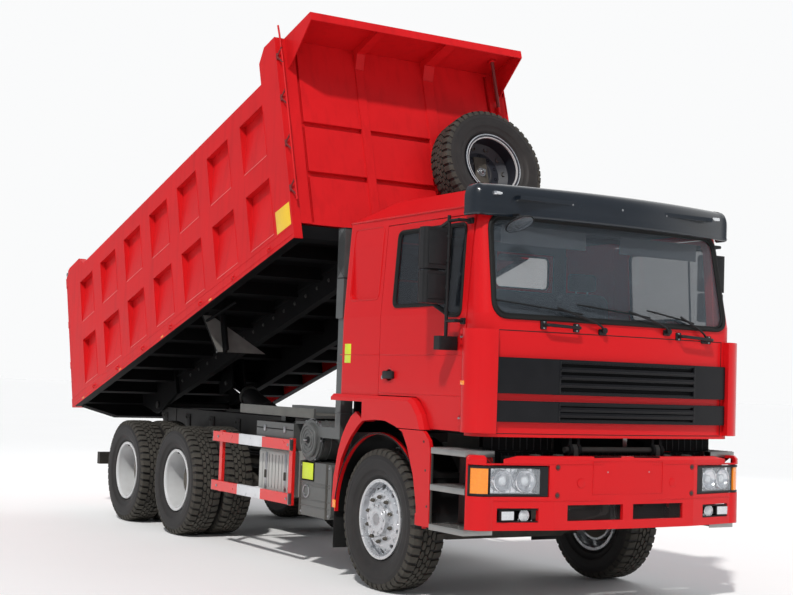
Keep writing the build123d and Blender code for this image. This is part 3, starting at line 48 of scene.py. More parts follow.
X, Y, Z, FORE = (1, 0, 0), (0, 1, 0), (0, 0, 1), (0, -1, 0)
SIDES = (-1, 1)

# A piece's points are (x, station, z), or in the tipped bed (x, -s, h): s runs
# forward along its floor and h stands square to it.
ROW = Matrix.Translation((0, FRONT_AXLE_Y * MM, 0))
BED = (
    Matrix.Translation(Vector((0, FRONT_AXLE_Y + HINGE_STATION, HINGE_Z)) * MM)
    @ Matrix.Rotation(-BED_TIP, 4, "X")
    @ Matrix.Translation(Vector((0, HINGE_S, HINGE_DROP)) * MM)
)


# ------------------------------------------------------------------ materials
def feed(tree, made, inputs):
    """Gives a node's inputs their values, or the sockets that drive them."""
    for key, value in inputs.items():
        if isinstance(value, bpy.types.NodeSocket):
            tree.links.new(value, made.inputs[key])
        else:
            made.inputs[key].default_value = value


def node(tree, kind, output, inputs, **settings):
    """Adds a shader node and returns one of its outputs."""
    made = tree.nodes.new("ShaderNode" + kind)
    for key, value in settings.items():
        setattr(made, key, value)
    feed(tree, made, inputs)
    return made.outputs[output]


def mixed(tree, share, a, b):
    """Colour that goes from a to b with share."""
    return node(tree, "Mix", "Result", {"Factor": share, "A": a, "B": b}, data_type="RGBA")


def noise(tree, place, scale, detail, **more):
    return node(tree, "TexNoise", "Fac", {"Vector": place, "Scale": scale, "Detail": detail, **more})


def paint(name, color, rough=0.4, metal=0.0, coat=0.0, mottle=0.06, grain=6.0, bump=0.0, bump_scale=120.0,
          dust=0.0, dust_color=(0.30, 0.26, 0.20), streak=0.0, edge=0.004, rough_spread=0.08, alpha=1.0,
          glow=(1, 1, 1, 0), sheen=0.0, spec=0.5):
    """Procedural surface: colour and roughness that drift, fine bump, settled dust, softened edges."""
    m = bpy.data.materials.new(name)
    m.use_nodes = True
    t = m.node_tree
    place = node(t, "TexCoord", "Object", {})
    drift = noise(t, place, grain, 6)
    dark = [c * (1 - 2.2 * mottle) for c in color]
    light = [min(1, c * (1 + 1.6 * mottle) + 0.02 * mottle) for c in color]
    base = mixed(t, drift, (*dark, 1), (*light, 1))
    if streak:
        runs = noise(t, node(t, "Mapping", "Vector", {"Vector": place, "Scale": (9, 9, 0.6)}), 1.6, 5)
        limits = {"From Min": 0.5, "From Max": 0.8, "To Max": streak}
        share = node(t, "MapRange", "Result", {"Value": runs, **limits})
        base = mixed(t, share, base, (*(c * 0.45 for c in color), 1))
    if dust:
        height = node(t, "SeparateXYZ", "Z", {"Vector": place})
        limits = {"From Min": 1.5, "From Max": 0.1, "To Max": dust}
        low = node(t, "MapRange", "Result", {"Value": height, **limits})
        patches = noise(t, place, 9, 8, Roughness=0.7)
        share = node(t, "Math", "Value", {0: low, 1: patches}, operation="MULTIPLY")
        base = mixed(t, share, base, (*dust_color, 1))
    normal = node(t, "Bevel", "Normal", {"Radius": edge}, samples=3)
    if bump:
        fine = noise(t, place, bump_scale, 3)
        normal = node(t, "Bump", "Normal", {"Strength": bump, "Distance": 0.004, "Height": fine, "Normal": normal})
    limits = {"To Min": max(0.02, rough - rough_spread), "To Max": min(1, rough + rough_spread)}
    feed(t, t.nodes["Principled BSDF"], {
        "Base Color": base, "Roughness": node(t, "MapRange", "Result", {"Value": drift, **limits}), "Normal": normal,
        "Metallic": metal, "Coat Weight": coat, "Coat Roughness": 0.06, "Specular IOR Level": spec, "Alpha": alpha,
        "Sheen Weight": sheen, "Emission Color": (*glow[:3], 1), "Emission Strength": glow[3],
    })
    return m


def cloth(name, color):
    """Woven cloth: crossed threads in the relief."""
    m = paint(name, color, rough=0.85, mottle=0.1, sheen=0.25, edge=0.002)
    t = m.node_tree
    place = node(t, "TexCoord", "Object", {})
    x, y, z = [node(t, "TexWave", "Fac", {"Vector": place, "Scale": 140}, bands_direction=axis) for axis in "XYZ"]
    weave = node(t, "Math", "Value", {0: node(t, "Math", "Value", {0: x, 1: y}), 1: z})
    relief = node(t, "Bump", "Normal", {"Strength": 0.5, "Distance": 0.002, "Height": weave})
    feed(t, t.nodes["Principled BSDF"], {"Normal": relief})
    return m


def glass(name, tint, alpha):
    """Thin tinted glass that lets most light through."""
    return paint(name, tint, rough=0.02, mottle=0.02, rough_spread=0.005, alpha=alpha, edge=0.001, spec=0.8)


def inside_out(name, outer, inner_color, way, limit, above=False, both_sides=False):
    """A paint that turns to another colour where the surface lies past a limit along way, in metres."""
    m = outer.copy()
    m.name = name
    t = m.node_tree
    shader = t.nodes["Principled BSDF"]
    place = node(t, "TexCoord", "Object", {})
    value = node(t, "VectorMath", "Value", {0: place, 1: way}, operation="DOT_PRODUCT")
    if both_sides:
        value = node(t, "Math", "Value", {0: value}, operation="ABSOLUTE")
    past = node(t, "Math", "Value", {0: value, 1: limit}, operation="GREATER_THAN" if above else "LESS_THAN")
    outside = shader.inputs["Base Color"].links[0].from_socket
    feed(t, shader, {"Base Color": mixed(t, past, outside, (*inner_color, 1))})
    return m


red_cab = paint("red_cab", (0.60, 0.008, 0.011), 0.30, coat=0.12, spec=0.15, mottle=0.03, grain=1.2,
                rough_spread=0.05)
red_bed = paint("red_bed", (0.62, 0.010, 0.013), 0.42, coat=0.03, spec=0.12, mottle=0.07, grain=2.5, bump=0.05,
                bump_scale=35, streak=0.25)
red_gate = paint("red_gate", (0.58, 0.009, 0.012), 0.42, coat=0.03, spec=0.12, mottle=0.09, grain=3, bump=0.08,
                 bump_scale=30, streak=0.35)
dark_red = paint("dark_red", (0.16, 0.006, 0.006), 0.6, mottle=0.15, grain=14, bump=0.2)
black_frame = paint("black_frame", (0.010, 0.010, 0.011), 0.5, spec=0.2, mottle=0.2, grain=5, bump=0.1,
                    bump_scale=60, dust=0.25)
under_black = paint("under_black", (0.004, 0.004, 0.0045), 0.6, spec=0.05, mottle=0.2, grain=4, bump=0.12,
                    bump_scale=40)
step_frame = paint("step_frame", (0.045, 0.012, 0.012), 0.6, mottle=0.2, grain=12, bump=0.2, dust=0.2)
visor_paint = paint("visor_paint", (0.006, 0.010, 0.016), 0.24, coat=0.35, grain=3)
grille_black = paint("grille_black", (0.005, 0.005, 0.0065), 0.32, coat=0.06, spec=0.2, mottle=0.12, grain=9)
plastic = paint("plastic", (0.011, 0.011, 0.012), 0.45, spec=0.25, mottle=0.12, grain=25, bump=0.25, bump_scale=600)
rubber = paint("rubber", (0.011, 0.011, 0.011), 0.6, spec=0.2, mottle=0.12, grain=18, bump=0.1, bump_scale=300)
tread_rubber = paint("tread_rubber", (0.024, 0.024, 0.023), 0.78, spec=0.2, mottle=0.25, grain=9, bump=0.3,
                     bump_scale=90, dust=0.5, dust_color=(0.16, 0.14, 0.11), edge=0.003)
wall_rubber = paint("wall_rubber", (0.016, 0.016, 0.0175), 0.55, spec=0.2, mottle=0.14, grain=7, bump=0.08,
                    bump_scale=140, dust=0.2, dust_color=(0.14, 0.12, 0.10))
rim_paint = paint("rim_paint", (0.60, 0.62, 0.65), 0.28, 0.55, 0.3, 0.08, 12, dust=0.25)
rim_white = paint("rim_white", (0.66, 0.67, 0.68), 0.35, 0.15, 0.3, 0.07, 8, dust=0.3)
navy_disc = paint("navy_disc", (0.016, 0.018, 0.026), 0.5, mottle=0.15, grain=12, dust=0.1)
cast = paint("cast", (0.035, 0.034, 0.032), 0.7, 0.3, mottle=0.25, grain=16, bump=0.4, bump_scale=140, dust=0.45)
steel = paint("steel", (0.42, 0.42, 0.43), 0.32, 1, mottle=0.12, grain=30, bump=0.05)
bright = paint("bright", (0.80, 0.80, 0.82), 0.08, 1, mottle=0.04, grain=20)
alloy = paint("alloy", (0.36, 0.36, 0.35), 0.38, 0.9, mottle=0.12, grain=10, bump=0.08, bump_scale=200, dust=0.15)
grey_paint = paint("grey_paint", (0.075, 0.080, 0.080), coat=0.1, mottle=0.14, dust=0.25)
# lighter grey of the guard plate under the bed is partly painted light for its sunlit face; its dust is settled dirt
guard_grey = paint("guard_grey", (0.15, 0.145, 0.135), 0.6, spec=0.3, mottle=0.3, grain=7, bump=0.12, dust=0.4)
slab_grey = paint("slab_grey", (0.11, 0.11, 0.10), 0.6, mottle=0.2, grain=9, bump=0.15)
yellow = paint("yellow", (0.86, 0.55, 0.03), 0.35, mottle=0.05, grain=60)
lime = paint("lime", (0.62, 0.74, 0.03), 0.35, mottle=0.05, grain=60)
stripe_red = paint("stripe_red", (0.70, 0.012, 0.010), 0.3, coat=0.3, grain=12)
stripe_white = paint("stripe_white", (0.66, 0.67, 0.69), 0.3, coat=0.3, grain=12)
amber = paint("amber", (0.90, 0.24, 0.01), 0.15, coat=0.8, mottle=0.15, grain=90, bump=0.5, bump_scale=320,
              glow=(0.9, 0.22, 0.0, 0.15))
tail_red = paint("tail_red", (0.45, 0.01, 0.01), 0.15, coat=0.8, mottle=0.15, grain=90, bump=0.4, bump_scale=300)
mirror_glass = paint("mirror_glass", (0.75, 0.77, 0.80), 0.03, 1, mottle=0.02)
# painted highlight for the lit ledge at the foot of each pocket in the bed's sides
painted_edge_highlight = paint("painted_edge_highlight", (0.72, 0.16, 0.15), 0.35, mottle=0.2, grain=20)
lining = paint("lining", (0.10, 0.10, 0.105), 0.85, mottle=0.05, grain=8)
lens_clear = paint("lens_clear", (0.62, 0.64, 0.66), 0.08, coat=0.8, mottle=0.12, grain=80, bump=0.5, bump_scale=260)
seat_cloth = cloth("seat_cloth", (0.035, 0.036, 0.040))
bunk_cloth = cloth("bunk_cloth", (0.075, 0.075, 0.080))
window = glass("window", (0.09, 0.11, 0.13), 0.30)
side_window = glass("side_window", (0.016, 0.020, 0.026), 0.50)
lens = glass("lens", (0.75, 0.80, 0.85), 0.16)
fender_paint = inside_out("fender_paint", red_cab, (0.008, 0.008, 0.008), X, 1.143, both_sides=True)
box_paint = inside_out("box_paint", grey_paint, (0.42, 0.42, 0.40), Z, 0.951)
bed_paint = inside_out("bed_paint", under_black, (0.30, 0.014, 0.014), (0, 0.28302, 0.95911), 2.329, above=True)


# --------------------------------------------------------------- mesh helpers
def about(middle, half):
    """Limits on both sides of a middle."""
    return middle - half, middle + half


def around(count, radius, turn=0.0):
    """Places on a circle."""
    for k in range(count):
        a = 2 * math.pi * (k + turn) / count
        yield radius * math.cos(a), radius * math.sin(a)


def circle(part, centre, across, up, radius, count):
    """Ring of vertices about a centre."""
    return [part.verts.new(centre + (across * a + up * b) * radius) for a, b in around(count, 1)]


def skin(part, rings, closed=False, caps=True):
    """Faces from each ring of vertices to the next; a ring of one vertex is a tip."""
    for a, b in zip(rings, rings[1:] + rings[:1] if closed else rings[1:]):
        count = max(len(a), len(b))
        for k in range(count):
            n = (k + 1) % count
            corners = a[k % len(a)], a[n % len(a)], b[n % len(b)], b[k % len(b)]
            part.faces.new(list(dict.fromkeys(corners)))
    if caps:
        part.faces.new(rings[0][::-1])
        part.faces.new(rings[-1])


def put(name, data, body, replaces=(), where=Matrix()):
    """An object of mesh data that rides on a body and the CAD nodes it stands for."""
    thing = bpy.data.objects.new(name, data)
    thing.matrix_world = where
    bpy.context.scene.collection.objects.link(thing)
    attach(thing, body)
    if replaces:
        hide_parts(*replaces)
    return thing


class Piece:
    """Gathers shapes with their materials into one object. While side is -1, what is added is mirrored in x."""

    def __init__(self, place=ROW):
        self.mesh = bmesh.new()
        self.materials = []
        self.place = place
        self.side = 1

    def at(self, point):
        return Vector((point[0] * self.side, point[1], point[2]))

    def take(self, part, material, turn=Matrix()):
        """Adds a shape that is still in millimetres, moved by turn first."""
        part.transform(self.place @ Matrix.Scale(MM, 4) @ turn)
        if material not in self.materials:
            self.materials.append(material)
        for face in part.faces:
            face.material_index = self.materials.index(material)
            face.smooth = True
        carrier = bpy.data.meshes.new("carrier")
        part.to_mesh(carrier)
        part.free()
        self.mesh.from_mesh(carrier)
        bpy.data.meshes.remove(carrier)

    def weave(self, part, rings, material, closed=False, caps=True):
        """Adds a skin over rings of vertices, its faces turned outward."""
        skin(part, rings, closed, caps)
        bmesh.ops.recalc_face_normals(part, faces=part.faces[:])
        self.take(part, material)

    def box(self, x, y, z, material, bevel=3.0, turn=Matrix()):
        """Box between limits, with rounded edges, turned about its middle."""
        part = bmesh.new()
        bmesh.ops.create_cube(part, size=1)
        size = Vector([abs(b - a) for a, b in (x, y, z)])
        for v in part.verts:
            v.co = v.co * size
        width = min(bevel, min(size) * 0.45)
        if width > 0:
            bmesh.ops.bevel(part, geom=part.edges[:], offset=width, segments=2, affect="EDGES", profile=0.5)
        self.take(part, material, Matrix.Translation(self.at([(a + b) / 2 for a, b in (x, y, z)])) @ turn)

    def boxes(self, material, bevel, *rows):
        """Boxes from rows of limits: x0, x1, y0, y1, z0, z1."""
        for x0, x1, y0, y1, z0, z1 in rows:
            self.box((x0, x1), (y0, y1), (z0, z1), material, bevel)

    def prism(self, points, depth, material, bevel=2.0):
        """Closed outline of points, given thickness along the vector depth, with rounded edges."""
        part = bmesh.new()
        face = part.faces.new([part.verts.new(self.at(p)) for p in points])
        made = bmesh.ops.extrude_face_region(part, geom=[face])["geom"]
        bmesh.ops.translate(part, vec=self.at(depth), verts=[v for v in made if isinstance(v, bmesh.types.BMVert)])
        bmesh.ops.recalc_face_normals(part, faces=part.faces[:])
        if bevel > 0:
            bmesh.ops.bevel(part, geom=part.edges[:], offset=bevel, segments=2, affect="EDGES", clamp_overlap=True)
        self.take(part, material)

    def tube(self, points, radius, material, sides=14, round_off=0, closed=False):
        """Round bar along points; round_off is how many times its corners are cut to a curve."""
        line = [self.at(p) for p in points]
        for _ in range(round_off):
            line = [line[0], *(a.lerp(b, t) for a, b in zip(line, line[1:]) for t in (0.25, 0.75)), line[-1]]
        part = bmesh.new()
        rings = []
        ends = (line[-1:], line[:1]) if closed else (line[:1], line[-1:])
        across = (line[1] - line[0]).normalized().orthogonal().normalized()
        for before, here, after in zip(ends[0] + line, line, line[1:] + ends[1]):
            way = (after - before).normalized()
            across = (across - way * across.dot(way)).normalized()
            rings.append(circle(part, here, across, way.cross(across), radius, sides))
        self.weave(part, rings, material, closed, not closed)

    def lathe(self, profile, origin, axis, material, sides=48, closed=False):
        """Outline of (along, radius) pairs turned about an axis through origin."""
        part = bmesh.new()
        axis = self.at(axis).normalized()
        across = axis.orthogonal().normalized()
        up = axis.cross(across)
        rings = []
        for along, radius in profile:
            centre = self.at(origin) + axis * along
            rings.append(circle(part, centre, across, up, radius, sides) if radius else [part.verts.new(centre)])
        self.weave(part, rings, material, closed, False)

    def spun(self, profile, material, sides=48, closed=False):
        """Outline turned about the piece's own X axis."""
        self.lathe(profile, (0, 0, 0), X, material, sides, closed)

    def bolt(self, centre, axis, r, h, material, washer=True):
        """Hexagon bolt head, r in radius and h high, with a domed top and a washer under it."""
        if washer:
            self.lathe(((0, r * 1.45), (h * 0.25, r * 1.4), (h * 0.3, 0)), centre, axis, material, 20)
        self.lathe(((h * 0.2, r), (h * 0.85, r), (h, r * 0.8), (h, 0)), centre, axis, material, 6)

    def sweep(self, path, profile, material):
        """Closed profile of (outward, z) points along an open plan path of (x, station) points."""
        part = bmesh.new()
        rings = []
        for before, here, after in zip(path[:1] + path, path, path[1:] + path[-1:]):
            along = (Vector(after) - Vector(before)).normalized()
            rings.append([
                part.verts.new(self.at((here[0] + along.y * out, here[1] - along.x * out, z))) for out, z in profile
            ])
        self.weave(part, rings, material)

    def ribbon(self, path, low, high, thickness, material):
        """Upright band along a plan path, thickened towards its left."""
        self.sweep(path, ((0, low), (0, high), (-thickness, high), (-thickness, low)), material)

    def data(self, name, angle=32):
        """Mesh data of what was gathered, sharp where faces meet at more than an angle."""
        data = bpy.data.meshes.new(name)
        self.mesh.to_mesh(data)
        self.mesh.free()
        for m in self.materials:
            data.materials.append(m)
        data.shade_smooth()
        data.set_sharp_from_angle(angle=math.radians(angle))
        return data

    def build(self, name, body, slot, *replaces):
        put(name, self.data(name), body, replaces)


# ------------------------------------------------------------ camera and light
view_yaw = math.radians(31.46)
view_pitch = math.radians(3.40)
view_roll = math.radians(1.94)
ahead = Vector((
    math.sin(view_yaw) * math.cos(view_pitch),
    math.cos(view_yaw) * math.cos(view_pitch),
    math.sin(view_pitch),
))
level_right = Vector((math.cos(view_yaw), -math.sin(view_yaw), 0))
level_up = level_right.cross(ahead)
right = level_right * math.cos(view_roll) + level_up * math.sin(view_roll)
up = level_up * math.cos(view_roll) - level_right * math.sin(view_roll)
camera_data = bpy.data.cameras.new("camera")
camera_data.sensor_width = 36
camera_data.lens = 63.61
camera_data.clip_end = 200
camera = bpy.data.objects.new("camera", camera_data)
bpy.context.scene.collection.objects.link(camera)
spot = Vector((-6620.65, FRONT_AXLE_Y - 9092.15, 1572.55)) * MM
camera.matrix_world = Matrix.Translation(spot) @ Matrix((right, up, -ahead)).transposed().to_4x4()
bpy.context.scene.camera = camera


def lamp(name, kind, place, target, power, size, color=(1, 1, 1)):
    """A light at place, aimed at target; size is metres across, or degrees for the sun."""
    data = bpy.data.lights.new(name, kind)
    data.energy = power
    data.color = color
    if kind == "SUN":
        data.angle = math.radians(size)
    else:
        data.shape = "RECTANGLE"
        data.size, data.size_y = size, size * 0.7
    thing = bpy.data.objects.new(name, data)
    thing.visible_glossy = kind == "SUN"
    thing.location = place
    thing.rotation_mode = "QUATERNION"
    thing.rotation_quaternion = (Vector(target) - Vector(place)).to_track_quat("-Z", "Y")
    bpy.context.scene.collection.objects.link(thing)


lamp("sun", "SUN", (-7, -7, 12), (0, 0, 1), 2.5, 3, (1.0, 0.98, 0.95))
lamp("front_fill", "AREA", (4, -13, 5), (0, -3, 1.6), 110, 5)
lamp("side_fill", "AREA", (-11, 2, 5), (0, 0, 2), 60, 6)
lamp("back_rim", "AREA", (8, 9, 7), (0, 1, 2), 260, 6)
# the world is bright behind the truck, as the camera sees it, and dimmer all round
world = bpy.data.worlds.new("studio")
bpy.context.scene.world = world
world.use_nodes = True
sky = world.node_tree
seen = node(sky, "TexCoord", "Generated", {})
toward = node(sky, "VectorMath", "Value", {0: seen, 1: (0.849, 0.490, -0.196)}, operation="DOT_PRODUCT")
share = node(sky, "MapRange", "Result", {"Value": toward, "From Min": 0.2, "From Max": 0.55},
             interpolation_type="SMOOTHSTEP")
wash = mixed(sky, share, (0.36, 0.38, 0.41, 1), (0.957, 0.962, 0.967, 1))
feed(sky, sky.nodes["Background"], {"Color": wash, "Strength": 1.0})
bpy.context.scene.view_settings.view_transform = "Standard"

reach = 400  # metres
floor_mesh = bpy.data.meshes.new("floor")
floor_mesh.from_pydata([(-reach, -reach, 0), (reach, -reach, 0), (reach, reach, 0), (-reach, reach, 0)], [],
                       [(0, 1, 2, 3)])
floor = bpy.data.objects.new("floor", floor_mesh)
floor_mesh.materials.append(paint("floor_paint", (0.90, 0.90, 0.90), rough=0.7, spec=0.2, mottle=0.01, grain=0.5))
bpy.context.scene.collection.objects.link(floor)


def dress(name, material):
    """Gives a CAD node its finished material."""
    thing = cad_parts[name]
    if thing.material_slots:
        for s in thing.material_slots:
            s.material = material
    else:
        thing.data.materials.append(material)


# --------------------------------------------------------------------- wheels
# A wheel's parts are shared mesh data about its centre, with the outside along +X.
HANDS = (("right", -1), ("left", 1))
FRONT_WHEEL_X, REAR_WHEEL_X = 1025, 915
TWIN_HALF = 165  # from the middle of a pair of tyres to each of them
DRIVE_AXLES = (("mid", 3800), ("rear", 5150))
LUGS = 46


def lug(tread, outline, start, end, lean=0.0):
    """Block of tyre tread: outline of (x, radius) pairs between two angles, leaning with x."""
    rows = []
    for angle in (start, end):
        turned = [(x, r, angle + lean * (x - outline[0][0])) for x, r in outline]
        rows.append([tread.verts.new((x, r * math.cos(a), r * math.sin(a))) for x, r, a in turned])
    skin(tread, rows)


def tyre_mesh():
    """One tyre: bulged walls with moulded rings, shoulder lugs, buttresses and interlocking centre blocks."""
    piece = Piece(Matrix())
    wall = (  # x, radius
        (92, 300.6), (103, 303), (113, 313), (121, 324), (124, 326), (126, 330), (125.5, 334), (134, 352),
        (141, 372), (142.5, 373), (144, 376), (146, 390), (148.6, 410), (149.3, 428), (148.2, 446), (149, 448),
        (148.6, 452), (144.5, 470), (139, 486), (134, 497), (128, 512),
    )
    piece.spun([*wall, (60, 514), (0, 515), (-60, 514), *((-x, r) for x, r in wall[::-1])], wall_rubber, 96)
    tread = bmesh.new()
    pitch = 2 * math.pi / LUGS
    shoulder = ((62, 508), (62, 529), (112, 527.5), (131, 521), (141.5, 494), (143, 480), (134, 484), (124, 505))
    buttress = ((140, 478), (145.8, 478), (143.6, 494), (136, 497))
    centre = (  # share of the pitch, x
        (0.06, -9), (0.06, 9), (0.3, 15.5), (0.62, 15.5), (0.88, 9), (0.88, -9), (0.62, -15.5), (0.3, -15.5),
    )
    for k in range(LUGS):
        for side in SIDES:
            start = pitch * (k + (0.5 if side < 0 else 0))
            lug(tread, [(side * x, r) for x, r in shoulder], start, start + pitch * 0.66, 0.00022 * side)
            lug(tread, [(side * x, r) for x, r in buttress], start + pitch * 0.76, start + pitch * 0.9)
        for row, shift in ((0, 0), (-37, 0.5), (37, 0.5)):
            places = [(row + x, pitch * (k + shift) + pitch * share) for share, x in centre]
            rings = [
                [tread.verts.new((x, r * math.cos(a), r * math.sin(a))) for x, a in places] for r in (508, 529.3)
            ]
            skin(tread, rings, caps=False)
            tread.faces.new(rings[1])
    bmesh.ops.recalc_face_normals(tread, faces=tread.faces[:])
    piece.take(tread, tread_rubber)
    return piece.data("tyre", 38)


def rim_lip(p, x, material):
    """Rolled lip of a rim whose middle lies at x."""
    profile = ((112, 299.5), (119.5, 299), (121, 294), (119, 288), (110, 287), (110, 292))
    p.spun([(x + along, radius) for along, radius in profile], material, 96, True)


def front_hub_mesh():
    p = Piece(Matrix())
    # wheel nuts in their dark sockets
    for y, z in around(10, 166, 0.5):
        p.lathe(((106, 25), (109.5, 25), (109.5, 19), (106.5, 18)), (0, y, z), X, rim_paint, 20)
        p.lathe(((106.2, 19), (108.4, 0)), (0, y, z), X, cast, 16)
        p.bolt((106, y, z), X, 14.5, 30, cast, False)
        p.lathe(((130, 8), (143, 7), (143, 0)), (0, y, z), X, cast, 10)
    # stepped cover plate with its ring of small screws
    p.spun(((140, 124), (144, 122), (145, 118), (145, 96), (149, 93), (150, 88), (150, 60), (146, 56), (146, 0)),
           rim_paint, 56)
    for y, z in around(10, 107):
        p.bolt((144.5, y, z), X, 6.5, 7, steel)
    p.spun(((146, 46), (149, 44), (149.5, 30), (147, 28), (147, 0)), steel, 36)
    # lip of the rim and the lock ring inside it
    rim_lip(p, 0, rim_white)
    p.spun(((96, 279), (104, 280), (105, 275), (96, 272)), rim_paint, 96, True)
    # pressed edge of each vent
    for y, z in around(10, 238):
        tilt = (1, 0.62 * y / 238, 0.62 * z / 238)
        p.lathe(((-3, 23), (3, 23.5), (4, 21), (3, 19.5), (-8, 20)), (84.5, y, z), tilt, rim_paint, 20)
    # valve with its extension
    p.tube(((60, 0, 262), (96, 0, 250), (120, 0, 232), (131, 0, 228)), 4.5, steel, 8, 2)
    p.tube(((129, 0, 228.6), (142, 0, 225.6)), 6, plastic, 8)
    # balance weights clipped to the lip
    for a in (0.9, 3.7):
        p.box((112, 122), about(286 * math.cos(a), 16), about(286 * math.sin(a), 5), steel, 3)
    return p.data("front_hub")


def rear_hub_mesh():
    p = Piece(Matrix())
    # deep dish: nuts on the disc, dark hub with its own ring of bolts
    for y, z in around(10, 184, 0.5):
        p.lathe(((7, 22), (10, 21), (10.5, 16)), (0, y, z), X, cast, 16)
        p.bolt((8, y, z), X, 15.5, 30, cast, False)
        p.lathe(((37, 9), (52, 8), (52, 0)), (0, y, z), X, steel, 10)
    p.spun(((6, 158), (14, 158), (18, 152), (30, 150), (100, 141), (122, 138), (122, 150), (138, 150), (140, 146),
            (140, 122), (150, 118), (153, 104), (154, 96), (154, 0)), cast, 56)
    for y, z in around(12, 135):
        p.bolt((139, y, z), X, 8, 10, steel)
    p.spun(((152, 60), (158, 57), (160, 40), (160, 0)), cast, 36)
    rim_lip(p, TWIN_HALF, rim_white)
    p.spun(((249, 279), (261, 281), (263, 274), (249, 271)), rim_white, 96, True)
    p.tube(((20, 0, 250), (120, 0, 256), (200, 0, 258), (258, 0, 262)), 5, steel, 8, 2)
    p.tube(((256, 0, 262), (272, 0, 263)), 6.5, plastic, 8)
    return p.data("rear_hub")


def inner_drum_mesh():
    p = Piece(Matrix())
    # brake drum's ribs and dust plate on the inside of a wheel
    for x in (-60, -40, -20):
        p.spun(((x, 215), (x, 221), (x + 8, 221), (x + 8, 215)), cast)
    p.spun(((-88, 196), (-90, 60), (-86, 60), (-86, 196)), cast, 40)
    return p.data("inner_drum")


def spare_mesh():
    p = Piece(Matrix())
    rim_lip(p, 0, bright)
    p.spun(((96, 283), (110, 284), (112, 264), (96, 262)), rim_white, 96, True)
    for y, z in around(10, 238):
        p.lathe(((-66, 24), (-60, 23), (-59, 20), (-64, 19.5), (-80, 0)), (0, y, z), X, cast, 18)
    # black cones in the stud holes, painted shade inside them
    for y, z in around(10, 166, 0.5):
        p.lathe(((-92, 17), (-88, 15), (-88, 13), (-96, 0)), (0, y, z), X, under_black, 16)
    p.spun(((-92, 128), (-84, 124), (-82, 110), (-84, 104), (-90, 100)), navy_disc)
    # clamp plate and its threaded stud
    p.box((-90, -78), (-70, 70), (-150, 150), cast, 4)
    p.tube(((-84, 0, 0), (-30, 0, 0)), 16, steel, 14)
    p.bolt((-78, 0, 0), X, 30, 24, steel)
    return p.data("spare_detail")


def hung(x, station, side):
    """Place of a wheel's part at x from the middle of its axle."""
    turn = Matrix.Rotation(0 if side > 0 else math.pi, 4, "Z")
    return ROW @ Matrix.Translation(Vector((side * x, station, HUB_Z)) * MM) @ turn


tyre, front_hub, rear_hub, inner_drum = tyre_mesh(), front_hub_mesh(), rear_hub_mesh(), inner_drum_mesh()
for name, side in HANDS:
    where = hung(FRONT_WHEEL_X, 0, side)
    body = f"wheel_front_{name}"
    put(f"front_tyre_tread_{name}", tyre, body, [f"front_tyre_{name}"], where)
    put(f"front_hub_{name}", front_hub, body, where=where)
    put(f"front_drum_{name}", inner_drum, body, where=where)
    dress(f"front_rim_{name}", rim_paint)
    for axle, station in DRIVE_AXLES:
        body = f"wheel_{axle}_{name}"
        for twin, way in (("outer", 1), ("inner", -1)):
            turned = tyre.copy()  # no two tyres of an axle stand with their lugs alike
            turned.transform(Matrix.Rotation(0.4 + way * 0.3 + (0.2 if axle == "mid" else 0), 4, "X"))
            worn = [f"{axle}_tyres_{name}"] if twin == "outer" else ()
            where = hung(REAR_WHEEL_X + way * TWIN_HALF, station, side)
            put(f"{axle}_tyre_{twin}_{name}", turned, body, worn, where)
        put(f"{axle}_hub_{name}", rear_hub, body, where=hung(REAR_WHEEL_X, station, side))
        dress(f"{axle}_rims_{name}", rim_white)

# spare wheel lies flat against the headboard, its dish forward
spare_place = BED @ Matrix.Translation(Vector((725, -5865, 765)) * MM) @ Matrix.Rotation(-math.pi / 2, 4, "Z")
put("spare_tyre_tread", tyre, "bed", ["spare_tyre"], spare_place)
put("spare_detail", spare_mesh(), "bed", where=spare_place)
dress("spare_rim", navy_disc)

# ------------------------------------------------------------ curved surfaces
WAIST_Z, CAB_TOP = 2055, 2815
CAB_HALF, CAB_EDGE = 1172, 120  # half width below the waist, radius of the front corners
BUMPER_BEND = 640
BUMPER_END = 1090


def bow(x, half, depth):
    """How far a bowed line of that depth has fallen back at x."""
    radius = (half * half + depth * depth) / (2 * depth)
    return radius - math.sqrt(max(0, radius * radius - x * x))


def narrowed(z):
    """0 up to the cab's waist, 1 at the top of its walls."""
    return min(1, max(0, (z - WAIST_Z) / (CAB_TOP - WAIST_Z)))


def cab_side(z, proud=0.0):
    """x of the cab's side skin at a height."""
    return CAB_HALF - 50 * narrowed(z) + proud


def cab_front(x, z, proud=0.0):
    """Station of the cab's front skin at x and z."""
    half, corner, front = cab_side(z), -1300 + 135 * narrowed(z), -1375 + 130 * narrowed(z)
    turn = max(0, abs(x) - (half - 113))
    back = bow(x, half, corner - front) + CAB_EDGE - math.sqrt(max(0, CAB_EDGE * CAB_EDGE - turn * turn))
    return front + back - proud


def on_cab(x, z, proud=0.0):
    return x, cab_front(x, z, proud), z


def across_cab(places, z, proud):
    """Plan path over the cab's front skin."""
    return [(x, cab_front(x, z, proud)) for x in places]


def bumper_front(x, proud=0.0):
    """Station of the bumper's face at x, up to the bend round its end."""
    x = abs(x)
    if x <= BUMPER_BEND:
        return -1492 + bow(x, BUMPER_BEND, 22) - proud
    return -1470 + (x - BUMPER_BEND) * 88 / 450 - proud


def rectangle(x0, x1, y0, y1):
    return [(x0, y0), (x1, y0), (x1, y1), (x0, y1)]


def rounded(points, radius, count=6):
    """Closed plane outline with its corners rounded."""
    made = []
    for a, p, b in zip(points[-1:] + points, points, points[1:] + points[:1]):
        a, p, b = Vector(a), Vector(p), Vector(b)
        u, v = (a - p).normalized(), (b - p).normalized()
        half = u.angle(v) / 2
        cut = min(radius / math.tan(half), (a - p).length * 0.48, (b - p).length * 0.48)
        for t in [k / count for k in range(count + 1)]:
            made.append(tuple((1 - t) ** 2 * (p + u * cut) + 2 * t * (1 - t) * p + t * t * (p + v * cut)))
    return made


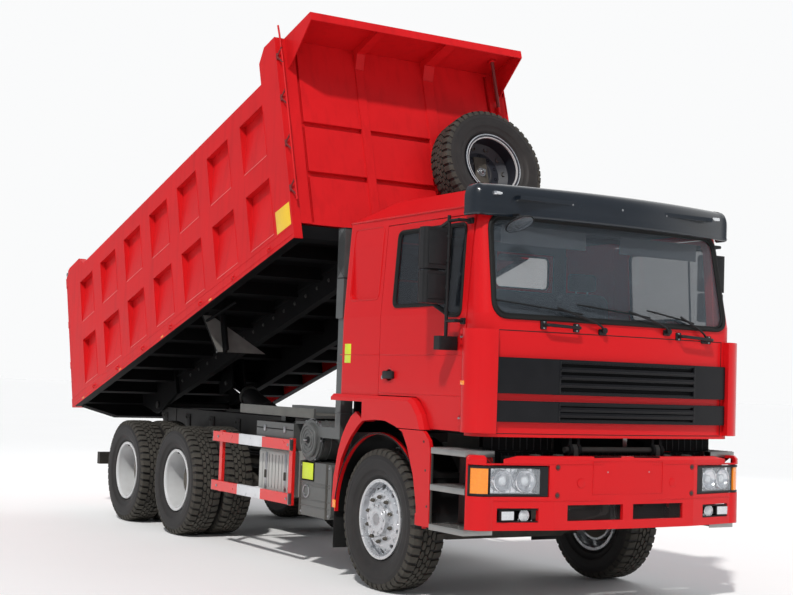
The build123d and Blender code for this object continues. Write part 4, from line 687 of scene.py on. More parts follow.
def dense(points, step):
    """The closed outline with points added so that none are further apart than step."""
    made = []
    for a, b in zip(points, points[1:] + points[:1]):
        count = max(1, int(math.dist(a, b) / step))
        made += [tuple(x + (y - x) * k / count for x, y in zip(a, b)) for k in range(count)]
    return made


# ------------------------------------------------------- finishes of CAD nodes
FINISH = (
    (black_frame, "chassis_frame tipper_subframe propeller_shafts rear_bar air_tanks hoist_barrel"),
    (cast, "front_axle drive_axles leaf_springs engine knuckle_left knuckle_right tie_rod"),
    (red_cab, "bumper cab_sides cab_back cab_front_panel cab_roof corner_panels arch_mouldings"),
    (red_cab, "door_left door_right"),
    (red_bed, "bed_sides headboard canopy"),
    (plastic, "dashboard mirror_left mirror_right"),
    (grey_paint, "air_filter muffler"),
    (side_window, "door_glass_left door_glass_right"),
    (alloy, "fuel_tank"), (box_paint, "battery_box"), (stripe_red, "side_guards"), (step_frame, "steps"),
    (fender_paint, "fenders"), (window, "cab_glass"), (under_black, "cab_floor"), (grille_black, "grille"),
    (visor_paint, "visor"), (bed_paint, "bed_floor"), (red_gate, "tailgate"), (seat_cloth, "seats"),
    (bright, "hoist_rod"),
)
for material, names in FINISH:
    for name in names.split():
        dress(name, material)

# -------------------------------------------------------- windscreen and wipers
SILL, HEAD = 2035, 2745
screen = dense(rounded([(-1080, SILL), (1080, SILL), (1052, HEAD), (-1052, HEAD)], 110), 60)
p = Piece()
p.tube([on_cab(x, z, 2) for x, z in screen], 15, rubber, 10, closed=True)
p.tube([on_cab(x * 0.982, SILL + (z - SILL) * 0.95 + 18, -6) for x, z in screen], 9, rubber, 8, closed=True)


def swept(wiper, along, lift, proud):
    """Point over the glass, a share of the way from a wiper's pivot to its tip."""
    x, z, tip_x, tip_z = wiper
    return on_cab(x + (tip_x - x) * along, z + (tip_z - z) * lift, proud)


for wiper in ((-178, 1976, -1057, 2147), (437, 1998, -396, 2150), (838, 1957, 246, 2143)):
    x, z = wiper[:2]
    base, post = on_cab(x, z), on_cab(x, z, 34)
    p.tube((base, post), 17, plastic, 16)
    p.lathe(((0, 22), (6, 22), (12, 16), (14, 0)), (x, post[1] + 2, z), FORE, plastic, 20)
    p.box(about(x, 34), (base[1] - 14, base[1] + 6), (z - 30, z + 12), plastic, 8)
    root = swept(wiper, 0.05, 0.3, 40)
    p.tube([post, (root[0] - 20, *root[1:]), swept(wiper, 0.46, 0.83, 30)], 8, plastic, 8, 2)
    # blade: rubber lip under a bridged spine, following the bowed glass
    blade = [swept(wiper, 0.2 + 0.8 * k / 12, 0.62 + 0.38 * k / 12, 8) for k in range(13)]
    p.tube(blade, 5.5, rubber, 6)
    p.tube([(x, y - 9, z + 1) for x, y, z in blade[1:-1]], 4.5, plastic, 6)
    for x, y, z in blade[2::4]:
        p.box(about(x, 14), (y - 14, y), about(z, 7), plastic, 3)
p.build("windscreen_trim", "cab", "black_plastic")

# ---------------------------------------------------------- front of the cab
p = Piece()
for x0, z0, x1, z1 in ((-684, 1992, -408, 1984), (558, 1968, 882, 1956)):
    bends = ((x0, z0, 6), (x0, z0, 52), (x0 + 20, z0, 60), (x1 - 20, z1, 60), (x1, z1, 52), (x1, z1, 6))
    p.tube([on_cab(*bend) for bend in bends], 12, plastic, 12, 2)
    for x, z in ((x0, z0), (x1, z1)):
        p.box(about(x, 26), (cab_front(x, z, 12), cab_front(x, z, -8)), about(z, 30), plastic, 7)
        for level in about(z, 20):
            p.bolt(on_cab(x, level, 12), FORE, 5, 5, steel)
p.build("grab_handles", "cab", "black_plastic")

p = Piece()
for low, high, z, proud in ((1941, 1947, 1942, 1.2), (1236, 1241, 1236, 1)):
    p.ribbon(across_cab(range(-1040, 1041, 80), z, proud), low, high, 3, rubber)
for x in (-1035, 1035):
    p.box(about(x, 3), (cab_front(x, 1850, 1.2), cab_front(x, 1850, -8)), (1246, 1942), rubber, 0.5)
p.build("hood_seams", "cab", "black_plastic")

p = Piece()
for low, high, slots in ((1512, 1759, 4), (1319, 1465, 3)):
    # slim frame round each black panel, smooth panels beside the louvres, and black backs in the slots as painted
    # shade
    edge = across_cab(range(-1056, 1057, 66), low, 29)
    p.ribbon(edge, high - 6, high, 4, grille_black)
    p.ribbon(edge, low, low + 6, 4, grille_black)
    for x0, x1 in ((-1056, -560), (718, 1056)):
        panel = across_cab([x0 + (x1 - x0) * k / 8 for k in range(9)], low, 30)
        p.ribbon(panel, low + 4, high - 4, 8, grille_black)
    p.ribbon(across_cab(range(-900, 901, 60), low, 12), low + 12, high - 12, 4, under_black)
    # rounded louvres with their closed ends
    for i in range(1, slots):
        middle = low + 15 + (high - low - 30) / slots * i
        for dz, out in ((-9, 24), (0, 29), (9, 24)):
            bar = across_cab([*range(-548, 704, 50), 708], low, out)
            p.tube([(x, y, middle + dz) for x, y in bar], 9, grille_black, 8)
    for x in (-554, 711):
        p.box(about(x, 8), (cab_front(x, low, 34), cab_front(x, low, 8)), (low + 10, high - 10), grille_black, 5)
    for z in (low + 12, high - 12):
        p.ribbon(across_cab(range(-554, 712, 55), low, 31), z - 6, z + 6, 8, grille_black)
p.build("grille_bars", "cab", "black_plastic")

# --------------------------------------------------------- visor and roof trim
VISOR_HALF, VISOR_BOW = 1186, 150


def visor_front(x, proud=0.0):
    return -1345 + bow(x, VISOR_HALF, VISOR_BOW) - proud


p = Piece()
end = [(1155, -1213), (1174, -1199), (1183, -1178), (1186, -1150), (1186, -1120), (1186, -1088)]
visor_path = [(-x, y) for x, y in end[::-1]] + [(x, visor_front(x)) for x in range(-1120, 1121, 40)] + end
p.sweep(visor_path, (
    (-8, 2738), (2, 2732), (11, 2736), (15, 2750), (12, 2762), (12, 2800), (13, 2845), (11, 2880), (4, 2908),
    (-8, 2934), (-28, 2952), (-56, 2962), (-96, 2965), (-96, 2948), (-50, 2942), (-8, 2900),
), visor_paint)
for x in (-1007, 1007):
    # marker lamp in its bright bezel, turned with the visor's bow
    y = visor_front(x)
    lean = Matrix.Rotation(-math.atan(2 * VISOR_BOW * x / VISOR_HALF**2), 4, "Z")
    p.box(about(x, 56), (y - 12, y + 24), (2876, 2904), bright, 9, lean)
    p.box(about(x, 46), (y - 15, y + 14), (2880, 2900), lens_clear, 7, lean)
for x in range(-880, 881, 440):
    p.bolt((x, visor_front(x, 12), 2856), FORE, 6, 3, steel)
# struts from the visor down to the screen's head
for x in (-760, 0, 760):
    p.box(about(x, 16), (visor_front(x, -16), cab_front(x, 2780, 6)), (2764, 2772), plastic, 3)
p.build("visor_trim", "cab", "black_plastic")

p = Piece()
for p.side in SIDES:
    # gutter along each side of the roof
    p.tube([(1124, -1080, 2812), (1125, -600, 2813), (1125, 560, 2813), (1105, 640, 2813)], 9, red_cab, 10, 1)
    # hinge of the hatch
    p.box(about(180, 40), (-182, -150), (2960, 2985), plastic, 5)
# pressed stiffeners of the roof skin
for x in range(-620, 621, 310):
    p.prism([(*q, 2957) for q in rectangle(x - 26, x + 26, -1020, 120)], (0, 0, 8), red_cab, 4)
# hatch with its frame
p.box((-300, 300), (-640, -160), (2956, 2974), rubber, 8)
p.box((-286, 286), (-626, -174), (2962, 2992), red_cab, 14)
p.build("roof_trim", "cab", "red_paint")

# ------------------------------------------------------------ bumper and lamps
LAMP_LOW, LAMP_HIGH = 836, 1007
# plan of the bend round the bumper's end, about its centre
WRAP = [
    (1113.2424 + 127.24283 * math.cos(a), -1256.8979 + 127.24283 * math.sin(a))
    for a in [math.radians(-100.52485 + 95.51937 * k / 10) for k in range(1, 11)]
]


def bumper_path(inner, outer=None, inset=0.0):
    """Plan path along the left half of the bumper's face; without an outer x it goes on round the end."""
    last = outer or BUMPER_END
    path = [(x, bumper_front(x)) for x in [inner + (last - inner) * k / 10 for k in range(11)]]
    if not outer:
        path += WRAP
    moved = []
    for before, here, after in zip(path[:1] + path, path, path[1:] + path[-1:]):
        way = (Vector(after) - Vector(before)).normalized()
        moved.append((here[0] - way.y * inset, here[1] + way.x * inset))
    return moved


p = Piece()
for p.side in SIDES:
    # lamp's frame, bright back, clear cover, amber end and the fog lamp's lips
    lamp_face = bumper_path(689, None, 3)
    for path, low, high, thickness, material in (
        (lamp_face, 821, LAMP_LOW, 46, plastic),
        (lamp_face, LAMP_HIGH, 1021, 46, plastic),
        (bumper_path(688, 748, 4), LAMP_LOW, LAMP_HIGH, 30, plastic),
        (bumper_path(1111, 1119, 5), LAMP_LOW, LAMP_HIGH, 40, plastic),
        (bumper_path(748, 1112, 62), 834, 1010, 4, bright),
        (bumper_path(748, 1112, 7), LAMP_LOW, LAMP_HIGH, 3, lens),
        ([q for q in bumper_path(1060, None, 7) if q[0] > 1117 or q[1] > -1370], LAMP_LOW, LAMP_HIGH, 22, amber),
        ([(1236, -1300), (1238, -1270)], 821, 1021, 20, plastic),
        (bumper_path(757, 1058, 2), 647, 653, 36, plastic),
        (bumper_path(757, 1058, 2), 727, 733, 36, plastic),
    ):
        p.ribbon(path, low, high, thickness, material)
    for x, r in ((842, 74), (1008, 70)):
        centre, aim = (x, bumper_front(x) + 60, 922), (0.1, -1, 0)
        bowl = ((0, 0), (1, 20), (8, 40), (20, 56), (36, r - 6), (46, r), (49, r), (47, r + 5), (2, r + 5))
        p.lathe(bowl, centre, aim, bright, 40)
        p.lathe(((0, 30), (30, 30), (36, 26), (44, 14), (46, 0)), centre, aim, lens_clear, 28)
        p.lathe(((28, 34), (33, 34), (33, 29), (28, 29)), centre, aim, steel, 28, True)
    # moulded flutes behind the clear cover
    for x in range(770, 1091, 40):
        p.box(about(x, 2), (bumper_front(x) + 52, bumper_front(x) + 60), (838, 1005), bright, 0)
    # fog lamp in its recess
    p.box((757, 1058), (bumper_front(900) + 52, bumper_front(900) + 60), (647, 733), under_black, 0)
    y = bumper_front(850) + 48
    p.lathe(((0, 0), (4, 24), (20, 36), (28, 40), (31, 41), (30, 44), (0, 44)), (850, y, 690), FORE, bright, 32)
    p.lathe(((22, 37), (27, 24), (28, 0)), (850, y, 690), FORE, lens_clear, 28)
    p.box((930, 1044), (y - 30, y + 4), (656, 726), plastic, 8)
    p.box((936, 1038), (y - 34, y - 28), (662, 720), lens_clear, 5)
p.build("headlamps", "chassis", "lamp_glass", "lamps")

p = Piece()
for p.side in SIDES:
    # woven guard in the lower opening: strands that rise and fall by as much as they run, cut at its ends
    for x in range(-44, 509, 24):
        low, high = max(x, 48), min(x + 108, 527)
        p.tube([(a, -1458, 652 + a - x) for a in (low, high)], 2.6, plastic, 5)
        p.tube([(a, -1458, 760 - a + x) for a in (high, low)], 2.6, plastic, 5)
    for z in (828, 1018):
        socket = (617, bumper_front(617, 1), z)
        p.lathe(((0, 21), (2, 20), (2.5, 16)), socket, FORE, dark_red, 20)
        p.bolt(socket, FORE, 9, 8, cast)
    # pressed lines along the face
    for low, high in ((786, 791), (1036, 1040)):
        p.ribbon(bumper_path(230, BUMPER_END, -2.5), low, high, 4, red_cab)
    # tow eye cover, and the rubber of the wrapped end
    p.lathe(((0, 34), (3, 33), (4, 28), (4, 0)), (420, bumper_front(420, 0.5), 910), FORE, red_cab, 28)
    p.box((1241.5, 1236), (-1268, -1262), (600, 1070), rubber, 1)
    # blank plate panel's upright edges, pressed into the middle of the bumper, and its screws
    p.box(about(319, 2.5), (bumper_front(319, 3.5), bumper_front(319, -3)), (832, 1060), red_cab, 1)
    p.bolt((190, bumper_front(190, -3.2), 985), FORE, 6, 5, steel)
    # black strip as painted shade for a long slot under the hood, and the lock beam's brackets
    p.box((60, 300), (-1478, -1440), (1084, 1094), under_black, 3)
    for x in (500, 700):
        p.box(about(x, 30), (-1350, -1290), (1040, 1098), cast, 8)
for low, high in ((830, 835), (1057, 1062)):
    p.ribbon([(x, max(bumper_front(x, 3.5), -1491.8)) for x in range(-321, 322, 107)], low, high, 5, red_cab)
p.ribbon([(x, bumper_front(x, -0.5)) for x in range(-240, 241, 80)], 878, 1012, 3, red_cab)
p.tube([(-980, -1330, 1066), (980, -1330, 1066)], 24, under_black, 14)
p.build("bumper_trim", "chassis", "red_paint")

# ------------------------------------------------------------------------ steps
p = Piece()
for p.side in SIDES:
    for level in (1115, 860, 585):
        # serrated tread: rows of raised teeth and a folded front lip
        for y in (-1252, -1206, -1160, -1110, -1060, -1010, -960, -910, -862):
            for x in [1012 + 19.6 * k for k in range(12)]:
                tooth = [(x, y, level - 1), (x + 11, y, level - 1), (x + 5.5, y, level + 7)]
                p.prism(tooth, (0, 9, 0), alloy, 0)
        p.box((1004, 1246), (-1263, -848), (level - 3, level + 1.5), alloy, 1)
        p.box((1004, 1246), (-1263.5, -1259), (level - 40, level + 2), alloy, 1.5)
        p.box((1241, 1247), (-1262, -840), (level - 40, level + 2), alloy, 1.5)
        if level > 600:
            # perforated gusset below the upper treads
            gusset = [(1010, -1256, level - 30), (1238, -1256, level - 30), (1012, -1256, level - 170)]
            p.prism(gusset, (0, 6, 0), dark_red, 1)
            for k in range(4):
                p.tube([(1030 + 44 * k, -1259, level - 40), (1016, -1259, level - 66 - 28 * k)], 3, red_cab, 6)
    # outer frame of the steps
    p.box((1000, 1012), (-1262, -1200), (560, 1115), black_frame, 3)
    p.tube([(1236, -846, 560), (1236, -846, 1112)], 9, black_frame, 10)
p.build("step_treads", "chassis", "step_metal")

# ------------------------------------------------------------------------ doors
seal = rounded([(-1050, 2040), (-900, 2040), (-690, 2124), (-140, 2124), (-140, 2690), (-1030, 2690)], 55)
seal = dense(seal, 90)
for name, side in HANDS:
    p = Piece()
    p.side = side
    p.tube([(cab_side(z, 1.5), y, z) for y, z in seal], 11, rubber, 10, closed=True)
    inner = [(cab_side(z, -4), y * 0.97 - 18, 2370 + (z - 2370) * 0.955) for y, z in seal]
    p.tube(inner, 8, rubber, 8, closed=True)
    # dividing bar of the quarter light
    p.tube([(cab_side(2080, -1), -840, 2070), (cab_side(2690, -1), -840, 2690)], 8, rubber, 8)
    # flap handle in its dished recess, with a lock
    p.lathe(((0, 62), (3, 60), (4, 52), (1, 44), (1, 0)), (1171, -118, 1614), X, red_cab, 36)
    p.box((1170, 1199), (-196, -52), (1585, 1645), plastic, 11)
    p.lathe(((0, 15), (5, 15), (6, 10), (6, 0)), (1172, -24, 1596), X, steel, 20)
    # pressed waist line and sill fold
    p.box((1170, 1175), (-1108, 24), (1762, 1768), red_cab, 2)
    p.box((1170, 1174.5), (-1108, 24), (1478, 1483), red_cab, 2)
    # inner card, armrest and winder
    p.box((1138, 1112), (-1040, -10), (1500, 2030), plastic, 12)
    p.box((1114, 1060), (-720, -260), (1780, 1850), plastic, 20)
    p.tube([(1112, -560, 1660), (1090, -560, 1660), (1084, -500, 1690)], 9, steel, 8)
    # strap hinges' bolts
    for level in (1330, 1890):
        for station in (-1100, -1076):
            p.bolt((1184, station, level), X, 6, 5, steel)
    p.build(f"door_trim_{name}", f"door_{name}", "black_plastic")

    p = Piece()
    p.side = side
    # mirror glasses in their shells, ribs on the backs, and the arm's clamps
    p.boxes(plastic, 4, (1213, 1417, -864, -857, 2368, 2642), (1218, 1412, -864, -857, 2128, 2337))
    p.boxes(mirror_glass, 3, (1219, 1411, -860, -855.5, 2376, 2634), (1225, 1405, -860, -855.5, 2136, 2329))
    p.boxes(plastic, 12, (1232, 1398, -966, -957, 2392, 2624), (1236, 1394, -961, -952, 2150, 2320))
    for level in (2420, 2590):
        p.lathe(((-9, 20), (9, 20), (9, 13), (-9, 13)), (1234, -960, level), Z, plastic, 18, True)
    # kerb mirror
    p.box((1196, 1324), (-970, -963), (1804, 1886), mirror_glass, 4)
    p.box((1186, 1334), (-1042, -1030), (1798, 1892), plastic, 10)
    # arms' brackets on the door frame
    p.boxes(plastic, 6, (1120, 1150, -1112, -1056, 2680, 2722), (1168, 1186, -1112, -1056, 1978, 2022))
    p.build(f"mirror_detail_{name}", f"door_{name}", "black_plastic")

# ------------------------------------------------- cab sides, back and roof edge
p = Piece()
for p.side in SIDES:
    p.box((1170, 1175), (44, 640), (1762, 1768), red_cab, 2)
    frame_line = dense(rounded(rectangle(86, 534, 2190, 2752), 56), 120)
    p.tube([(cab_side(z), y, z) for y, z in frame_line], 5, red_cab, 8, closed=True)
    # corner panel's joint and its small side marker, and the marker on the rear post
    p.box((1246, 1251), (-1230, -1180), (1560, 1590), amber, 3)
    p.tube([(1172, -1126, 1240), (1172, -1126, 1946)], 3, rubber, 6)
    p.box((1171, 1174), (470, 566), (1700, 1850), lime, 1)
    # pressed ribs down the back wall
    for x in (300, 900):
        p.box(about(x, 40), (644, 656), (1500, 2340), red_cab, 5)
for x in (-600, 600):
    pane = dense(rounded(rectangle(x - 290, x + 290, 2400, 2690), 60), 100)
    p.tube([(a, 650, z) for a, z in pane], 13, rubber, 8, closed=True)
p.build("cab_shell_trim", "cab", "red_paint")

p = Piece()
# round down-view mirror on its stalk
p.tube([(-905, -1270, 2745), (-925, -1360, 2742), (-943, -1396, 2712)], 9, plastic, 8, 2)
centre, aim = (-943, -1380, 2690), (0.1, -0.45, -0.85)
p.lathe(((0, 0), (4, 62), (12, 96), (20, 104), (26, 106), (26, 98), (22, 0)), centre, aim, plastic, 36)
p.lathe(((27, 97), (31, 60), (33, 0)), centre, aim, mirror_glass, 36)
p.build("round_mirror", "cab", "black_plastic")

p = Piece()
for p.side in SIDES:
    # seals under the doors, closed on the wheel arch
    p.box((1118, 1139), (-760, 560), (1446, 1482), rubber, 4)
    # dark ribbed valance below the cab's floor, behind the bumper's top; its black panel is painted shade that
    # closes the gap there
    p.box((462, 1050), (-1192, -1184), (1114, 1262), under_black, 2)
    for x in range(500, 1040, 60):
        p.box(about(x, 4), (-1196, -1190), (1120, 1240), plastic, 2)
p.build("cab_valance", "cab", "black_plastic")

# ------------------------------------------------------------------- side gear
p = Piece()
# air filter: pressed rings, clamp band with its catches, stepped end with a wing nut
for x in range(-1000, -639, 90):
    p.lathe(((-9, 171), (-6, 177), (6, 177), (9, 171)), (x, 1200, 1060), X, grey_paint, 56)
p.lathe(((-8, 172), (-8, 180), (8, 180), (8, 172)), (-1088, 1200, 1060), X, steel, 56, True)
for low, high in ((116, 136), (84, 100), (52, 68)):
    p.lathe(((0, high), (-7, high - 3), (-7, low + 3), (0, low)), (-1134, 1200, 1060), X, grey_paint, 56, True)
p.lathe(((0, 30), (-6, 28), (-12, 18), (-22, 15), (-24, 0)), (-1135, 1200, 1060), X, plastic, 28)
p.box((-1166, -1158), (1168, 1232), (1054, 1066), steel, 4)
for y, z in around(6, 176):
    p.box((-1112, -1070), about(1200 + y, 9), about(1060 + z, 9), steel, 3)
# folded seams and crossed mesh of the tall intake
for z in (1300, 1700, 2060):
    p.box((-1119, -1001), (702, 794), about(z, 6), grey_paint, 3)
for start, rise, here, there in ((2392, 110, (-1131, 700), (-1131, 810)), (2400, 140, (-1130, 811), (-990, 811))):
    for z in range(start, 2789 - rise, 26):
        for low, high in ((z, z + rise), (z + rise, z)):
            p.tube([(*here, low), (*there, high)], 2.5, plastic, 5)
p.boxes(plastic, 3, *[(-1133, -987, 697, 813, z - 6, z + 4) for z in (2384, 2786)])
p.build("air_filter_detail", "chassis", "tank_metal")

p = Piece()
# muffler box: pressed bands, blank reflector in its holder, round outlet, mounting straps, pipe
p.boxes(grey_paint, 3, *[(-1129, -1122, 812, 1318, z - 5, z + 5) for z in (520, 575, 690, 712)])
p.box((-1130, -1120), (1086, 1296), (726, 885), under_black, 3)
p.box((-1133, -1128), (1098, 1284), (738, 873), lime, 1.5)
p.lathe(((0, 58), (-9, 56), (-11, 48), (-8, 42), (2, 42)), (-1124, 1212, 640), X, steel, 36)
# black disc in the outlet's mouth, painted shade for the inside of the pipe
p.lathe(((1, 42), (0, 0)), (-1124, 1212, 640), X, under_black, 24)
for y in (870, 1320):
    for x0, x1, low, high in ((-1128, -636, 436, 441), (-1129, -1124, 438, 884), (-1128, -640, 879, 885)):
        p.box((x0, x1), about(y, 16), (low, high), cast, 2)
for y in (830, 1300):
    for z in (470, 850):
        p.bolt((-1124, y, z), (-1, 0, 0), 8, 7, steel)
p.tube([(-900, 1330, 520), (-900, 1430, 500), (-820, 1500, 470), (-700, 1520, 460)], 44, cast, 20, 2)
p.build("muffler_detail", "chassis", "tank_metal")

p = Piece()
# straps with tension bolts, ribs, lid line and latches, chequer lines, battery cable and hose
for y in (1640, 2010):
    p.boxes(steel, 2, (-1109, -1102, y - 20, y + 20, 598, 912), (-1100, -764, y - 20, y + 20, 948, 955))
    p.box((-1122, -1104), about(y, 10), (690, 760), cast, 4)
p.boxes(alloy, 2, *[(-1108, -1104, y, y + 9, 610, 900) for y in range(1520, 2140, 62)])
p.box((-1119, -1112), (1510, 2200), (1120, 1128), under_black, 2)
p.boxes(steel, 4, *[(-1124, -1112, y - 18, y + 18, 1096, 1150) for y in (1660, 2040)])
p.boxes(slab_grey, 1, *[(-1100, -606, y, y + 10, 1261, 1265) for y in range(1150, 2530, 46)])
p.box((-1129, -1124), (1130, 2540), (1240, 1318), slab_grey, 2)
p.tube([(-900, 2140, 1150), (-900, 2300, 1120), (-700, 2420, 1000), (-520, 2500, 900)], 17, rubber, 10, 3)
p.tube([(-840, 1500, 1080), (-840, 1420, 1060), (-760, 1380, 980), (-560, 1360, 900)], 20, rubber, 10, 3)
p.build("battery_box_detail", "chassis", "tank_metal")

p = Piece()
for p.side in SIDES:
    for low, high in ((960, 1050), (510, 600)):
        p.box((1157, 1192), (1946, 2414), (low - 2, high + 2), stripe_white, 2)
        p.boxes(steel, 1.5, *[(1157, 1192, y - 3, y + 3, low - 2, high + 2) for y in (1420, 2975)])
        for y in (1450, 2855):
            p.bolt((1191, y, (low + high) / 2), X, 9, 8, steel)
p.build("guard_stripes", "chassis", "guard_stripe")

p = Piece()
# fuel tank: double strap bands, filler neck with cap, gauge sender and line
band = rounded(rectangle(518, 1127, 438, 982), 92, 8)
for y in (1360, 1386, 1750, 1776, 2140, 2166):
    p.tube([(x, y, z) for x, z in band], 7, steel, 6, closed=True)
p.lathe(((0, 52), (30, 52), (34, 58), (58, 58), (62, 50), (62, 0)), (860, 1260, 978), (0.25, 0, 1), plastic, 32)
p.lathe(((0, 40), (8, 38), (14, 20), (16, 0)), (760, 1620, 980), Z, steel, 24)
p.tube([(760, 1620, 996), (740, 1500, 1020), (600, 1400, 990), (460, 1300, 960)], 9, rubber, 8, 3)
# air tanks: end domes, bands and drain taps
for y in (2640, 3060):
    for x, way in ((1080, 1), (462, -1)):
        dome = ((0, 135), (way * 14, 128), (way * 26, 100), (way * 33, 55), (way * 35, 0))
        p.lathe(dome, (x, y, 830), X, black_frame, 40)
    for x in (600, 930):
        p.lathe(((-14, 135), (-14, 139), (14, 139), (14, 135)), (x, y, 830), X, steel, 48, True)
    p.lathe(((0, 10), (16, 10), (18, 6), (30, 6), (30, 0)), (780, y, 696), (0, 0, -1), steel, 14)
p.build("left_tanks_detail", "chassis", "tank_metal")

# ------------------------------------------------------------------ bed details
POCKETS = [(401, 818), *((1087 + 748 * i, 1565 + 748 * i) for i in range(6))]
SILL_SPAN = (-5640, -8)
p = Piece(BED)
for side in SIDES:
    # proud of the wall by different amounts inside and outside, so these boxes aren't mirrored
    p.side = 1
    wall = side * BED_HALF
    for s0, s1 in POCKETS:
        for top, low in ((1392, 905), (690, 165)):
            # painted highlight: a lighter red strip along the foot of each pressed pocket, where its ledge catches
            # the light
            p.box(about(wall, 1.5), (-s1 + 8, -s0 - 8), (low - 4, low + 2), painted_edge_highlight, 0.8)
    p.boxes(red_bed, 1.5, *[(wall - 2, wall + 2.5, *SILL_SPAN, *level) for level in ((36, 44), (112, 118))])
    p.boxes(red_bed, 4, *[(wall - 2, wall + 6, -s - 26, -s + 26, 56, 92) for s in range(700, 5300, 748)])
    # blank reflector near the front corner and small markers along the sill
    p.box((wall - 1, wall + 2.5), (-5618, -5353), (134, 339), yellow, 1.2)
    p.boxes(amber, 4, *[(wall - 1, wall + 10, -s - 34, -s + 34, 14, 36) for s in (300, 1500, 2700, 3900)])
    p.side = side
    # weld beads round each pocket, rolled top rail, lashing hooks, splash lip under the sill
    for s0, s1 in POCKETS:
        for top, low in ((1392, 905), (690, 165)):
            p.tube([(BED_HALF, -s0, top), (BED_HALF, -s1, top)], 4, red_bed, 6)
            for s in (s0, s1):
                p.tube([(BED_HALF, -s, low), (BED_HALF, -s, top)], 3.2, red_bed, 6)
    p.tube([(1190, -560, 1586), (1190, -5310, 1586)], 12, red_bed, 10)
    for s in range(700, 5300, 748):
        p.tube([(1232, -s, 70), (1254, -s, 62), (1258, -s, 40), (1240, -s, 30)], 7, red_bed, 8, 2)
    p.box((1140, 1232), (-5640, -20), (-3, 3), under_black, 1)
p.build("bed_side_detail", "bed", "red_paint")

p = Piece(BED)
for p.side in SIDES:
    # rod with zigzag brackets that holds the rolled cover at the front corner
    p.tube([(1196, -5700, 330), (1196, -5700, 1500), (1196, -5688, 1880), (1196, -5676, 2000)], 9, red_bed, 10, 1)
    for h in (1700, 1300, 870, 450):
        for end in (h + 75, h - 75):
            p.tube([(1226, -5652, h), (1196, -5700, end)], 8, dark_red, 8)
        p.box((1214, 1232), (-5664, -5646), about(h, 30), dark_red, 3)
    p.tube([(1121, -6120, 1836), (1121, -5722, 1622), (1121, -5655, 1602)], 4.5, red_bed, 8)
# stay from the far gusset to the canopy's underside
p.tube([(950, -5900, 1888), (1128, -5668, 1500)], 17, dark_red, 14)
p.boxes(red_bed, 5, (920, 980, -5930, -5870, 1876, 1894), (1100, 1128, -5700, -5650, 1466, 1532))
# weld beads along the headboard's ribs and the folded lip of the canopy
for x in (-430, -345, 300, 412, -1045, 1045):
    p.tube([(x, -5639, 150), (x, -5639, 1880)], 4, red_bed, 6)
for x0, x1 in ((-1015, -430), (-345, 300), (412, 1015)):
    p.boxes(red_bed, 3, *[(x0 + 2, x1 - 2, -5646, -5634, h - 2, h + 8) for h in (640, 1110)])
p.tube([(-1122, -6131, 1834), (1122, -6131, 1834)], 5, red_bed, 8)
# spare wheel's bracket
p.boxes(red_bed, 6, *[(560, 890, -5700, -5636, h - 26, h + 26) for h in (520, 1010)])
p.build("headboard_detail", "bed", "red_paint")

p = Piece(BED)
for p.side in SIDES:
    # bolts of the hinge gussets, brake pipe along the beam, ribs out to the side
    for s in range(900, 5500, 230):
        p.bolt((452, -s, -40), X, 13, 10, cast)
    p.tube([(462, -900, 40), (462, -5500, 40)], 10, under_black, 8)
    for s in range(180, 5240, 500):
        p.tube([(470, -s, 118), (1148, -s, 118)], 7, under_black, 6)
    # guard plate's face, a lighter grey that is partly painted light for its sunlit face, with settled dust; its
    # strut and its fixing
    plate = [(1138, -3514, -2), (1017, -3514, -368), (508, -3514, -368), (1046, -3514, -2)]
    p.prism(plate, (0, -4, 0), guard_grey, 1)
    p.box((930, 962), (-3600, -3512), (-366, -4), under_black, 6)
    p.tube([(1105, -3512, -60), (960, -3900, 20)], 14, under_black, 10)
    p.box((1016, 1024), (-3520, -3494), (-372, -330), grey_paint, 2)
    # keeper of the rod eye's pin
    p.lathe(((0, 30), (8, 30), (10, 24), (10, 0)), (85, -1700, -150), X, cast, 20)
p.tube([(-96, -1700, -150), (96, -1700, -150)], 19.6, steel, 20)
p.build("bed_underside", "bed", "black_frame")

p = Piece(BED)
# tailgate: weld beads along its rails, pressed panels between its posts
for level in (110, 480, 560, 980, 1060, 1480):
    p.tube([(-1110, 35, level), (1110, 35, level)], 4, red_gate, 6)
for x0, x1 in ((-1113, -655), (-545, -55), (55, 545), (655, 1113)):
    for low, high in ((110, 480), (560, 980), (1060, 1480)):
        middle = (x0 + x1) / 2
        panel = rectangle(middle - 120, middle + 120, low + 60, high - 60)
        p.prism([(x, 32, z) for x, z in panel], (0, 12, 0), red_gate, 9)
        for x in (x0, x1):
            p.tube([(x, 34, low + 4), (x, 34, high - 4)], 4, red_gate, 6)
for p.side in SIDES:
    # hinge caps, hooks that hold the gate's foot, reflectors
    p.lathe(((0, 26), (7, 25), (10, 18), (10, 0)), (1222, 45, 1640), X, steel, 24)
    p.box((1150, 1226), (92, 104), (30, 90), cast, 5)
    p.tube([(1190, 98, 60), (1190, 60, 20), (1190, 20, 16)], 12, cast, 10, 1)
    p.box((1120, 1216), (94, 99), (640, 740), stripe_red, 2)
    p.box((1120, 1216), (94, 99), (860, 960), yellow, 2)
p.build("tailgate_detail", "tailgate", "red_paint")

